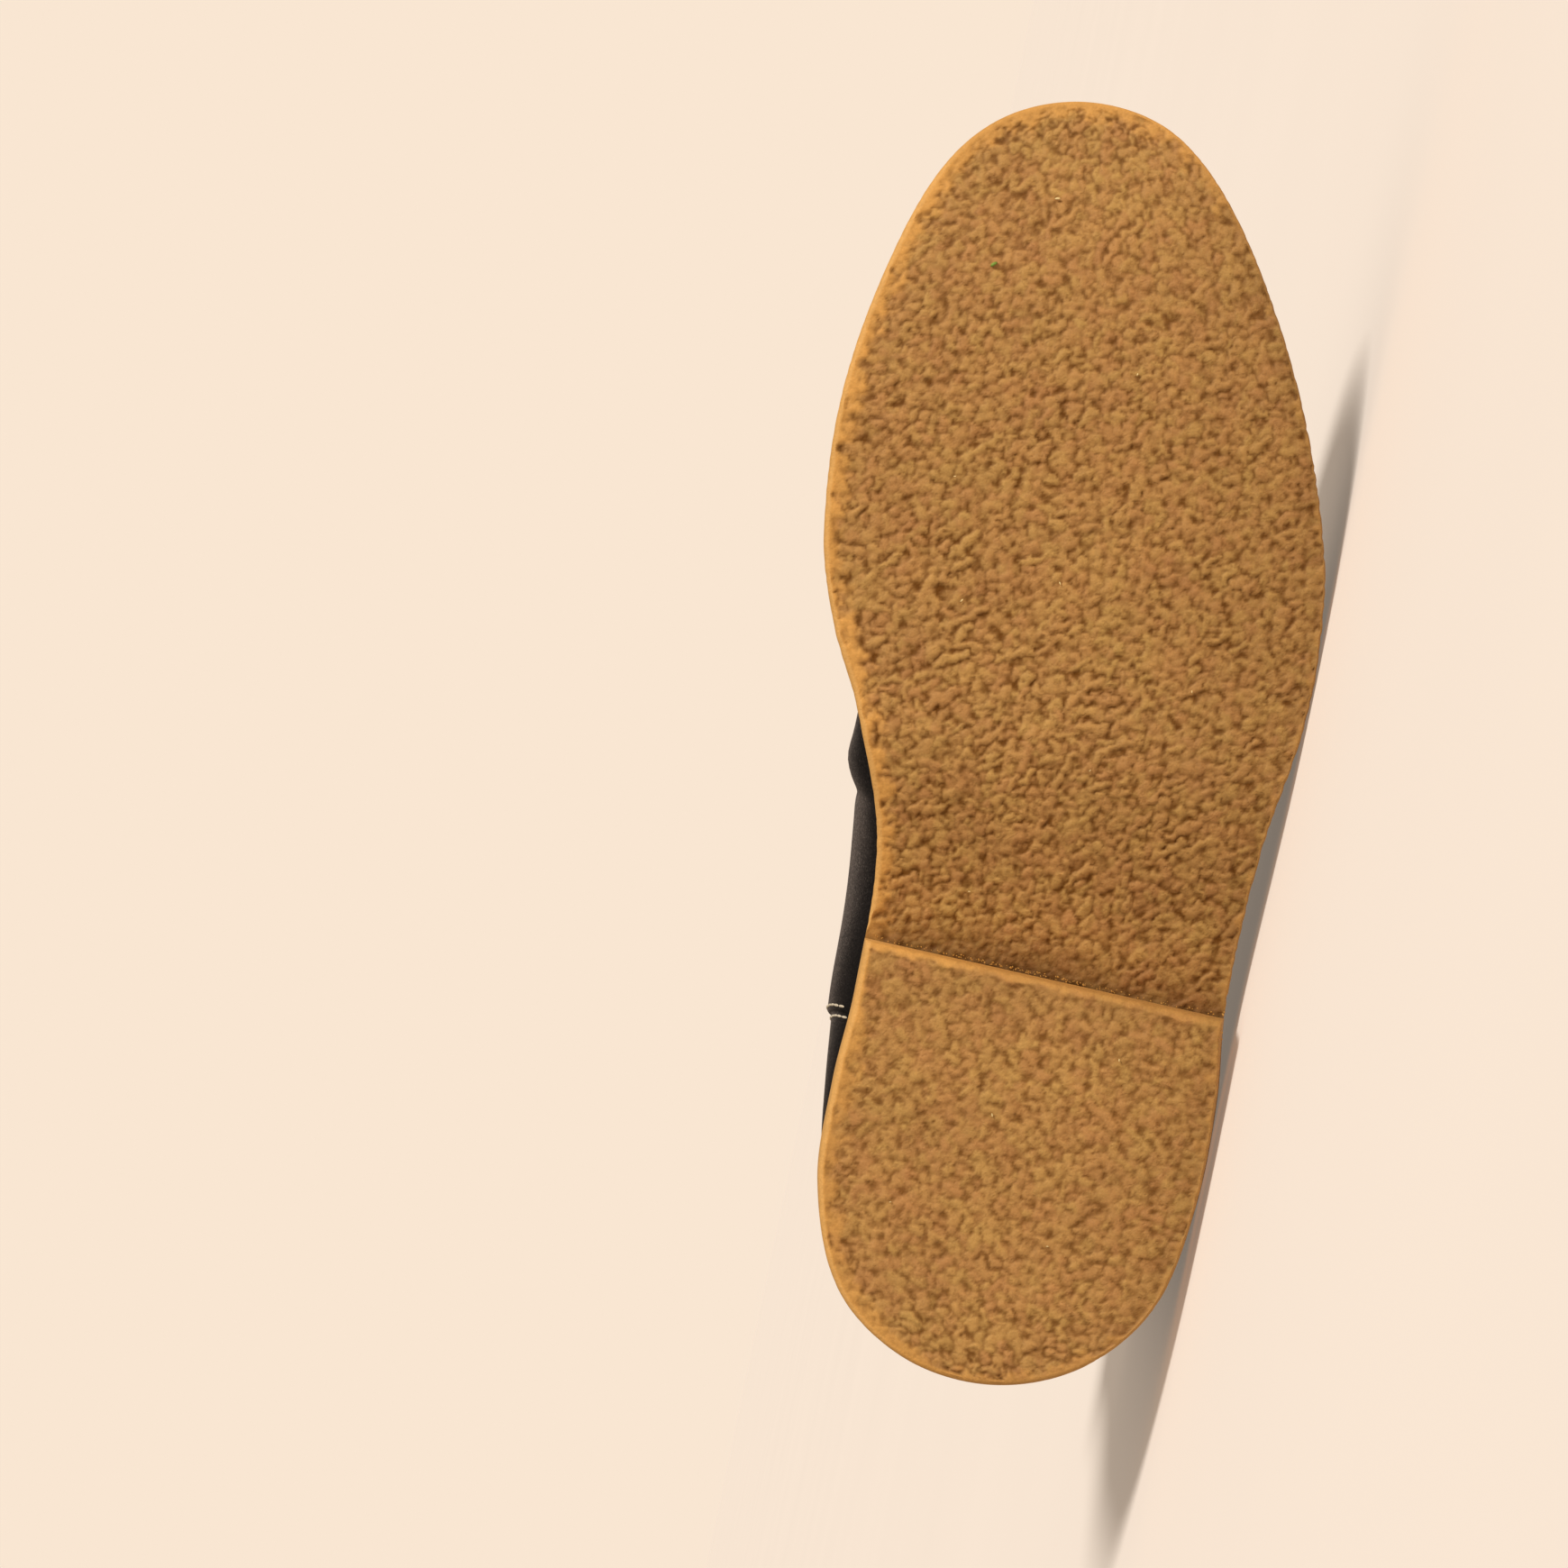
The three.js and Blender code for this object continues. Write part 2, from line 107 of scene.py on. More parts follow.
@dataclass(frozen=True)
class BootAxes:
    """Where the boot's own axes lie in the row frame."""

    origin: Array
    axes: Array

    @classmethod
    def from_frame(cls, rear_shift: float) -> "BootAxes":
        """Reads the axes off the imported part.

        Args:
            rear_shift: Across coordinate of the heel's rearmost point, in millimetres.

        Returns:
            The boot's axes, with the origin at the rear of the heel on the tread plane.
        """
        down = next(m["axis"] for m in frame["record"]["mounts"] if m["name"] == "heel_tread")
        up = -np.array(down)
        along = unit(np.array([-up[2], 0, up[0]]))
        axes = np.array([along, np.cross(up, along), up])
        heel = vertices(frame["nodes"]["heel"]) @ axes.T
        low = heel.min(axis=0)
        middle = heel[heel[:, 0].argmin(), 1] - rear_shift * MM
        return cls(origin=np.array([low[0], middle, low[2]]) @ axes, axes=axes)

    def to_row(self, points: Array) -> Array:
        """Boot millimetres to row metres."""
        return self.origin + (points * MM) @ self.axes

    def to_boot(self, points: Array) -> Array:
        """Row metres to boot millimetres."""
        return (points - self.origin) @ self.axes.T / MM

    def turn(self, directions: Array) -> Array:
        """Directions in boot axes to the row frame."""
        return directions @ self.axes

    def turn_back(self, directions: Array) -> Array:
        """Directions in the row frame to boot axes."""
        return directions @ self.axes.T

    def gusset(self, side: Side) -> Array:
        """Vertices of one gusset of the CAD part, in boot millimetres."""
        return self.to_boot(vertices(frame["nodes"]["gusset_" + side.name.lower()]))


def vectors(items: bpy.types.bpy_prop_collection, key: str) -> Array:
    """Reads one vector of each vertex or face.

    Args:
        items: The mesh's vertices, their normals, or its faces.
        key: Name of the vector.

    Returns:
        Rows of three numbers.
    """
    found = np.empty(len(items) * 3, np.float32)
    items.foreach_get(key, found)
    return found.reshape(-1, 3).astype(float)


def vertices(obj: Piece) -> Array:
    """Vertices of a mesh object."""
    return vectors(obj.data.vertices, "co")


def set_vertices(obj: Piece, points: Array) -> None:
    """Moves a mesh object's vertices."""
    obj.data.vertices.foreach_set("co", points.astype(np.float32).ravel())
    obj.data.update()


def vertex_normals(obj: Piece) -> Array:
    """Vertex normals of a mesh object."""
    return vectors(obj.data.vertex_normals, "vector")


def store(obj: Piece, name: str, values: Array) -> None:
    """Keeps one number for each vertex as an attribute that materials read."""
    attribute = obj.data.attributes.new(name, "FLOAT", "POINT")
    attribute.data.foreach_set("value", values.astype(np.float32))


# ---- modelling helpers


def activate(obj: Piece) -> None:
    """Makes one object the only selected and the active one."""
    bpy.ops.object.select_all(action="DESELECT")
    obj.select_set(True)
    bpy.context.view_layer.objects.active = obj


def weld(obj: Piece, distance: float = 1e-6, to_quads: bool = False) -> None:
    """Merges vertices that coincide, and faces outwards.

    Args:
        obj: Mesh object to mend.
        distance: Furthest apart that two merged vertices are, in metres.
        to_quads: Whether pairs of triangles become quads.
    """
    activate(obj)
    bpy.ops.object.mode_set(mode="EDIT")
    bpy.ops.mesh.select_all(action="SELECT")
    bpy.ops.mesh.remove_doubles(threshold=distance)
    if to_quads:
        flat = math.radians(70)
        bpy.ops.mesh.tris_convert_to_quads(face_threshold=flat, shape_threshold=math.pi)
    bpy.ops.mesh.normals_make_consistent(inside=False)
    bpy.ops.object.mode_set(mode="OBJECT")


def add(name: str, data: bpy.types.ID) -> Piece:
    """Puts a new object into the scene, at the origin.

    Args:
        name: Name of the object.
        data: Its mesh, light or camera.

    Returns:
        The object.
    """
    data.name = name
    made = bpy.data.objects.new(name, data)
    bpy.context.scene.collection.objects.link(made)
    return made


def copy_node(node: str, name: str) -> Piece:
    """Copies a CAD node into a new piece with merged vertices and quads.

    Args:
        node: Name of the CAD node.
        name: Name of the new piece.

    Returns:
        The new object, at the origin and on no body yet.
    """
    piece = add(name, frame["nodes"][node].data.copy())
    piece.data.materials.clear()
    activate(piece)
    bpy.ops.mesh.customdata_custom_splitnormals_clear()
    weld(piece, to_quads=True)
    return piece


def mesh_piece(name: str, points: Array, faces: list) -> Piece:
    """Makes a piece from points in row metres and the numbers of each face's points."""
    mesh = bpy.data.meshes.new(name)
    mesh.from_pydata(points.tolist(), [], faces)
    return add(name, mesh)


def grid_piece(name: str, points: Array) -> Piece:
    """Makes a mesh from a grid primitive with a cell between each four neighbouring points.

    Args:
        name: Name of the new piece.
        points: Row metres, as rows by columns by three.

    Returns:
        The new object.
    """
    rows, columns = points.shape[:2]
    bpy.ops.object.select_all(action="DESELECT")
    bpy.ops.mesh.primitive_grid_add(x_subdivisions=columns - 1, y_subdivisions=rows - 1, size=1)
    piece = bpy.context.active_object
    piece.name = piece.data.name = name
    while piece.data.uv_layers:
        piece.data.uv_layers.remove(piece.data.uv_layers[0])
    set_vertices(piece, points.reshape(-1, 3))
    return piece


def soften(obj: Piece, levels: int, crease: float, sharpness: float = 40) -> None:
    """Subdivides a cage, and keeps its sharp edges by a crease.

    Args:
        obj: Mesh object to smooth.
        levels: Levels of subdivision.
        crease: Crease of the sharp edges, from 0 to 1.
        sharpness: Angle between faces in degrees from which an edge is creased.
    """
    cage = bmesh.new()
    cage.from_mesh(obj.data)
    layer = cage.edges.layers.float.new("crease_edge")
    for edge in cage.edges:
        if len(edge.link_faces) == 2 and edge.calc_face_angle() > math.radians(sharpness):
            edge[layer] = crease
    cage.to_mesh(obj.data)
    cage.free()
    modifier = obj.modifiers.new("smooth", "SUBSURF")
    modifier.levels = modifier.render_levels = levels
    modifier.boundary_smooth = "PRESERVE_CORNERS"
    activate(obj)
    bpy.ops.object.modifier_apply(modifier=modifier.name)


def finish_piece(
    piece: Piece, material: Material | None, slot: Slot, *nodes: str, angle: float
) -> Piece:
    """Shades a piece smooth, gives it its finish and puts it on the boot's body.

    Args:
        piece: The finished mesh object.
        material: Its finish, or None where its faces have theirs already.
        slot: The record's slot for that finish; not used.
        nodes: CAD nodes that the piece stands for.
        angle: Angle between faces in degrees from which an edge stays sharp.

    Returns:
        The same piece.
    """
    if material is not None:
        piece.data.materials.clear()
        piece.data.materials.append(material)
    activate(piece)
    bpy.ops.object.shade_smooth_by_angle(angle=math.radians(angle))
    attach(piece, BODY)
    if nodes:
        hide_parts(*nodes)
    LOG.info("%s: %d faces", piece.name, len(piece.data.polygons))
    return piece


# ---- finishes


def rgba(red: float, green: float, blue: float) -> tuple[float, float, float, float]:
    """A colour with full alpha, from sRGB numbers of 0 to 255."""
    shares = (value / 255 for value in (red, green, blue))
    return (*(s / 12.92 if s <= 0.04045 else ((s + 0.055) / 1.055) ** 2.4 for s in shares), 1.0)


class Shader:
    """Builds the nodes of one material. Scales of noise are per metre, and distances metres."""

    def __init__(self, name: str) -> None:
        """Starts a material with a Principled shader.

        Args:
            name: Name of the material.
        """
        self.made = bpy.data.materials.new(name)
        self.made.use_nodes = True
        self.tree = self.made.node_tree
        self.surface = next(n for n in self.tree.nodes if n.type == "BSDF_PRINCIPLED")

    def node(self, kind: str, inputs: dict | None = None, **settings: object) -> bpy.types.Node:
        """Adds a node.

        Args:
            kind: Blender's name of the node, without ShaderNode.
            inputs: Values or sockets for its inputs, by name or number.
            settings: Properties of the node.

        Returns:
            The new node.
        """
        made = self.tree.nodes.new("ShaderNode" + kind)
        for key, value in settings.items():
            setattr(made, key, value)
        for key, value in (inputs or {}).items():
            if isinstance(value, Socket):
                self.tree.links.new(value, made.inputs[key])
            else:
                made.inputs[key].default_value = value
        return made

    def place(self) -> Socket:
        """The object's own coordinates."""
        return self.node("TexCoord").outputs["Object"]

    def attribute(self, name: str) -> Socket:
        """A number kept on the mesh."""
        return self.node("Attribute", attribute_name=name).outputs["Fac"]

    def noise(self, scale: float, detail: float, roughness: float = 0.5) -> Socket:
        """Noise from 0 to 1."""
        inputs = {"Vector": self.place(), "Scale": scale, "Detail": detail, "Roughness": roughness}
        return self.node("TexNoise", inputs).outputs["Fac"]

    def range(self, value: Socket, low: float, high: float, to: Pair = (0, 1)) -> Socket:
        """Maps a span of values to another, and clamps it."""
        return self.node("MapRange", {0: value, 1: low, 2: high, 3: to[0], 4: to[1]}).outputs[0]

    def grain(
        self,
        scale: float,
        detail: float,
        roughness: float = 0.5,
        span: Pair = (0.3, 0.7),
        to: Pair = (0, 1),
    ) -> Socket:
        """Noise with a span of its values stretched to another."""
        return self.range(self.noise(scale, detail, roughness), *span, to)

    def math(self, operation: str, a: Socket | float, b: Socket | float) -> Socket:
        """One step of arithmetic."""
        return self.node("Math", {0: a, 1: b}, operation=operation).outputs[0]

    def vector(self, operation: str, a: Socket, b: Socket | Triple) -> Socket:
        """One step of arithmetic with vectors."""
        return self.node("VectorMath", {0: a, 1: b}, operation=operation).outputs[0]

    def mix(self, share: Socket | float, a: object, b: object, blend: str = "MIX") -> Socket:
        """Mixes two colours."""
        inputs = {0: share, 6: a, 7: b}
        return self.node("Mix", inputs, data_type="RGBA", blend_type=blend).outputs[2]

    def toned(self, colour: Socket, tone: Socket) -> Socket:
        """A colour made darker or lighter by a factor."""
        grey = self.node("CombineColor", {0: tone, 1: tone, 2: tone}).outputs[0]
        return self.mix(1.0, colour, grey, "MULTIPLY")

    def bump(self, height: Socket, distance: float, strength: float, **below: Socket) -> Socket:
        """Bumps the surface by a height, over another bump that Normal names."""
        inputs = {"Height": height, "Distance": distance, "Strength": strength, **below}
        return self.node("Bump", inputs).outputs["Normal"]

    def dress(self, links: dict[str, Socket], **values: object) -> Material:
        """Links and sets sockets of the Principled shader.

        Args:
            links: Outputs by the names of their sockets.
            values: Values of other sockets, with underscores for spaces.

        Returns:
            The material.
        """
        for name, output in links.items():
            self.tree.links.new(output, self.surface.inputs[name])
        for name, value in values.items():
            self.surface.inputs[name.replace("_", " ")].default_value = value
        return self.made


@dataclass(frozen=True)
class CrepeFinish:
    """Natural crepe rubber: amber lumps, crevices made browner by painted shade, and a smooth, paler
    border whose paleness is partly painted highlight.
    """

    olive: Triple = (180, 140, 77)
    pink: Triple = (172, 122, 72)
    # Colour of painted shade in the crevices and the cracks
    deep: Triple = (100, 59, 8)
    # Paler border, partly the smooth rubber's own tone and partly painted highlight on the inner side,
    # which faces the light
    border: Triple = (208, 153, 80)
    # Painted highlight on the rim, where the bevel catches the light
    rim: Triple = (224, 182, 118)
    # Colour of painted shade towards the outer side and before the heel's breast, of darkening along
    # the edges, and of dirt round the heel
    dirt_and_shade: Triple = (84, 54, 20)
    roughness: float = 0.62
    # Turn of the cracks' plates about the floor's level axis, plates per metre along each of their
    # axes, how far the cracks wander, and how much painted shade darkens them
    lie: Triple = (0, 0.6, 0)
    plate: Triple = (560, 0, 330)
    wander: Triple = (0.0016, 0, 0.0016)
    darkening: float = 0.24

    def material(self) -> Material:
        """Builds the material, which reads the marks kept on the mesh: painted shade in the crevices,
        the tint, the pale border with its painted highlight, and painted shade with some dirt.

        Returns:
            The material.
        """
        shader = Shader("crepe")
        fleck = shader.grain(520, 3)
        cloud = shader.grain(60, 2, to=(0.95, 1.04))
        speck = shader.grain(1900, 2, 0.6, to=(0.93, 1.07))
        top = shader.mix(shader.attribute("tint"), rgba(*self.olive), rgba(*self.pink))
        edge = shader.attribute("border")
        top = shader.mix(shader.range(edge, 0, 1), top, rgba(*self.border))
        # Painted highlight in the rim's colour, where the border mark passes 1
        top = shader.mix(shader.range(edge, 1, 2), top, rgba(*self.rim))
        # Painted shade in the crevices: the colour turns deep where the relief mark is low
        colour = shader.mix(shader.attribute("relief"), rgba(*self.deep), top)
        # Painted shade, with some dirt round the heel
        colour = shader.mix(shader.attribute("dirt_and_shade"), colour, rgba(*self.dirt_and_shade))
        open_up = shader.grain(620, 2, span=(0.5, 0.62))
        inside = shader.range(edge, 0.1, 0.6, (1, 0))
        cracks = shader.math("MULTIPLY", self._cracks(shader), open_up)
        cracks = shader.math("MULTIPLY", cracks, inside)
        # Painted shade in the cracks
        colour = shader.mix(cracks, colour, rgba(*self.deep))
        tone = shader.math("MULTIPLY", shader.range(fleck, 0, 1, (0.93, 1.06)), cloud)
        colour = shader.toned(colour, shader.math("MULTIPLY", tone, speck))
        fine = shader.bump(shader.noise(1500, 4, 0.6), 0.00022, 0.9)
        normal = shader.bump(shader.math("SUBTRACT", 1.0, cracks), 0.0003, 0.8, Normal=fine)
        links = {"Base Color": colour, "Normal": normal}
        return shader.dress(links, Roughness=self.roughness, Specular_IOR_Level=0.14)

    def _cracks(self, shader: Shader) -> Socket:
        """Slits between small plates that lie across the boot.

        Args:
            shader: Shader that the nodes go to.

        Returns:
            Their darkness, which is painted shade.
        """
        cloud = shader.node("TexNoise", {"Vector": shader.place(), "Scale": 600, "Detail": 2})
        shift = shader.vector("MULTIPLY", cloud.outputs["Color"], self.wander)
        moved = shader.vector("ADD", shader.place(), shift)
        turned = shader.node("Mapping", {"Vector": moved, "Rotation": self.lie}).outputs[0]
        plates = shader.vector("MULTIPLY", turned, self.plate)
        inputs = {"Vector": plates, "Scale": 1.0, "Randomness": 1.0}
        cells = shader.node("TexVoronoi", inputs, feature="DISTANCE_TO_EDGE")
        return shader.range(cells.outputs["Distance"], 0.03, 0.2, (self.darkening, 0))


@dataclass(frozen=True)
class SuedeFinish:
    """Charcoal suede: a soft nap that is brushed darker and lighter in patches."""

    dark: Triple = (54, 47, 44)
    light: Triple = (92, 81, 75)
    fibre: Triple = (160, 148, 138)
    shadow: Triple = (9, 7, 7)
    sheen: float = 0.3
    sheen_tint: Triple = (190, 178, 170)

    def material(self) -> Material:
        """Builds the material, which reads the shade kept on the mesh.

        Returns:
            The material.
        """
        shader = Shader("suede")
        brushed = shader.grain(55, 4, 0.6, (0.36, 0.64))
        nap = shader.grain(1300, 4, 0.75, (0.34, 0.66))
        stray = shader.grain(2300, 2, 0.6, (0.55, 0.68), (0, 0.8))
        colour = shader.mix(brushed, rgba(*self.dark), rgba(*self.light))
        colour = shader.toned(colour, shader.range(nap, 0, 1, (0.35, 1.6)))
        colour = shader.mix(stray, colour, rgba(*self.fibre))
        colour = shader.mix(shader.attribute("shade"), colour, rgba(*self.shadow))
        normal = shader.bump(nap, 0.0003, 0.9)
        sheen = shader.range(shader.attribute("shade"), 0, 0.8, (self.sheen, 0))
        return shader.dress(
            {"Base Color": colour, "Normal": normal, "Sheen Weight": sheen},
            Roughness=0.95, Specular_IOR_Level=0.15,
            Sheen_Roughness=0.45, Sheen_Tint=rgba(*self.sheen_tint),
        )


@dataclass(frozen=True)
class ElasticFinish:
    """Ribbed elastic, near black, with a fine weave between the ribs and painted shade in the grooves.
    """

    # Colours in the grooves, darkened as painted shade, and on the ribs' crests
    dark: Triple = (22, 20, 20)
    light: Triple = (52, 48, 47)

    def material(self) -> Material:
        """Builds the material, which reads the rib kept on the mesh.

        Returns:
            The material.
        """
        shader = Shader("elastic")
        weave = shader.grain(2300, 2, span=(0.35, 0.65))
        # Painted shade: darker in the grooves between the ribs, lighter on their crests
        colour = shader.mix(shader.attribute("rib"), rgba(*self.dark), rgba(*self.light))
        colour = shader.toned(colour, shader.range(weave, 0, 1, (0.75, 1.2)))
        links = {"Base Color": colour, "Normal": shader.bump(weave, 0.00012, 0.7)}
        return shader.dress(links, Roughness=0.8, Specular_IOR_Level=0.3, Sheen_Weight=0.2)


@dataclass(frozen=True)
class GrainedFinish:
    """One colour with a fine grain, as on leather, thread and crumbs of rubber."""

    name: str
    colour: Triple
    # Shares of the colour at the lows and the highs of the grain
    shares: Pair
    scale: float
    roughness: float
    detail: float = 2
    span: Pair = (0.35, 0.65)
    specular: float = 0.35
    raised: bool = True
    patches: bool = False

    def material(self) -> Material:
        """Builds the material.

        Returns:
            The material.
        """
        shader = Shader(self.name)
        grain = shader.grain(self.scale, self.detail, span=self.span)
        patch = shader.grain(40, 3, to=(0.88, 1.06)) if self.patches else None
        colour = shader.mix(grain, *(rgba(*(share * c for c in self.colour)) for share in self.shares))
        links = {"Base Color": shader.toned(colour, patch) if self.patches else colour}
        if self.raised:
            links["Normal"] = shader.bump(grain, 0.0001, 0.6)
        return shader.dress(links, Roughness=self.roughness, Specular_IOR_Level=self.specular)


def leather(colour: Triple) -> GrainedFinish:
    """Soft leather, as inside the upper."""
    return GrainedFinish("lining", colour, (1, 0.86), 1500, 0.68, detail=3, patches=True)


def rubber_bits(name: str, colour: Triple, roughness: float = 0.5) -> GrainedFinish:
    """Crumbs of rubber, or specks, such as the glossy pale ones that are painted glints."""
    return GrainedFinish(
        name, colour, (0.8, 1), 1200, roughness, span=(0.3, 0.7), specular=0.3, raised=False
    )


# ---- sole


@dataclass(frozen=True)
class SoleForm:
    """Outline and tread of the sole, as the CAD part has them, in boot millimetres and shares."""

    length: float = 294
    ball_width: float = 113
    heel_length: float = 93
    breast_slant: float = 14
    slant_end: float = 0.62
    thickness: float = 9
    heel_height: float = 13
    heel_taper: float = 0.8
    toe_spring: float = 12
    spring_power: float = 1.8
    tread_start: float = 0.5
    tread_end: float = 0.72
    edge_bevel: float = 1.6
    bevel_run: float = 0.03
    top_round: float = 1
    clearance: float = 0.3
    # Share of the length, centre line and half width as shares of the ball width
    outline: tuple[Triple, ...] = (
        (0, -0.027, 0), (0.02, -0.027, 0.194), (0.07, -0.026, 0.326), (0.15, -0.016, 0.386),
        (0.23, 0.009, 0.39), (0.3, 0.03, 0.376), (0.42, 0.07, 0.386), (0.52, 0.08, 0.448),
        (0.58, 0.065, 0.486), (0.65, 0.05, 0.502), (0.76, 0.033, 0.464), (0.88, 0.024, 0.361),
        (0.95, 0.02, 0.26), (0.985, 0.022, 0.157), (1, 0.022, 0),
    )

    @property
    def breast(self) -> float:
        """Share of the length at which the heel ends."""
        return self.heel_length / self.length

    @staticmethod
    def angle_at(share: Array | float) -> Array:
        """Angle round the outline at a share of the length."""
        return np.arccos(1 - 2 * np.clip(share, 0, 1))

    @staticmethod
    def share_at(angle: Array) -> Array:
        """Share of the length at an angle round the outline."""
        return (1 - np.cos(angle)) / 2

    def _read(self, column: int, angle: Array) -> Array:
        """Smooth curve through one column of the outline.

        Args:
            column: 1 for the centre line, or 2 for the half width.
            angle: Angles round the outline.

        Returns:
            The column's values there, as shares of the ball width.
        """
        rows = np.array(self.outline, float)
        xs, ys = self.angle_at(rows[:, 0]), rows[:, column]
        before, after = np.arange(len(xs)) - 1, np.arange(len(xs)) + 1
        before[0], after[-1] = 0, len(xs) - 1
        slopes = (ys[after] - ys[before]) / (xs[after] - xs[before])
        x = np.clip(angle, xs[0], xs[-1])
        k = np.clip(np.searchsorted(xs, x) - 1, 0, len(xs) - 2)
        span = xs[k + 1] - xs[k]
        t = (x - xs[k]) / span
        bend = t * (1 - t) * ((1 - t) * slopes[k] - t * slopes[k + 1]) * span
        return ys[k] + (ys[k + 1] - ys[k]) * ease(t) + bend

    def _slant(self, share: Array) -> Array:
        """Slant of the sole's rows, as a share of the length."""
        ahead = (self.slant_end - share) / (self.slant_end - self.breast)
        turned = ease(np.where(share < self.breast, share / self.breast, ahead))
        return self.breast_slant / self.length * turned

    def _plan(self, side: Side, angle: Array) -> Array:
        """Points of the outline in plan.

        Args:
            side: Side of the boot.
            angle: Angles round the outline.

        Returns:
            Along and across coordinates, one row for each angle.
        """
        share = self.share_at(angle)
        own = share - side.value * self._slant(share) / 2
        turned = self.angle_at(own)
        across = self._read(1, turned) + side.value * self._read(2, turned)
        return np.stack([own * self.length, across * self.ball_width], axis=-1)

    def edge(self, side: Side, angle: Array, inset: Array | float = 0.0) -> Array:
        """Outline in plan, moved inwards.

        Args:
            side: Side of the boot.
            angle: Angles round the outline, from the heel's rear to the toe.
            inset: How far inwards, in millimetres.

        Returns:
            Along and across coordinates, one row for each angle.
        """
        small = 1e-3
        run = self._plan(side, angle + small) - self._plan(side, angle - small)
        outward = np.stack([-run[:, 1], run[:, 0]], axis=-1) * side.value
        outward /= np.maximum(np.linalg.norm(outward, axis=1, keepdims=True), 1e-12)
        outward[angle <= small] = (-1.0, 0.0)
        outward[angle >= math.pi - small] = (1.0, 0.0)
        return self._plan(side, angle) - outward * np.broadcast_to(inset, angle.shape)[:, None]

    def tread(self, share: Array | float) -> Array:
        """Height of the outsole's tread: the arch behind the ball, and the spring under the toes."""
        arch = np.clip((self.tread_start - share) / (self.tread_start - self.breast), 0, 1)
        spring = np.clip((share - self.tread_end) / (1 - self.tread_end), 0, 1)
        return self.heel_height * ease(arch) + self.toe_spring * spring**self.spring_power

    def even_rows(self, start: float, end: float, step: float) -> Array:
        """Angles of rows that are evenly spaced along the outline.

        Args:
            start: Share of the length at which the rows start.
            end: Share of the length at which they end.
            step: Space between rows, in millimetres along the outline.

        Returns:
            The angles, with both ends.
        """
        fine = np.linspace(self.angle_at(start), self.angle_at(end), 2000)
        run = run_of(self._plan(Side.OUTER, fine))
        return np.interp(np.linspace(0, run[-1], int(run[-1] / step) + 1), run, fine)


@dataclass(frozen=True)
class Rolls:
    """Rolls of rubber that lie over the lumps, with radii and half lengths in millimetres."""

    # Square millimetres for each roll
    area: float
    least: Pair
    most: Pair
    # Whether most of them lie where long rolls gather
    gathered: bool = False


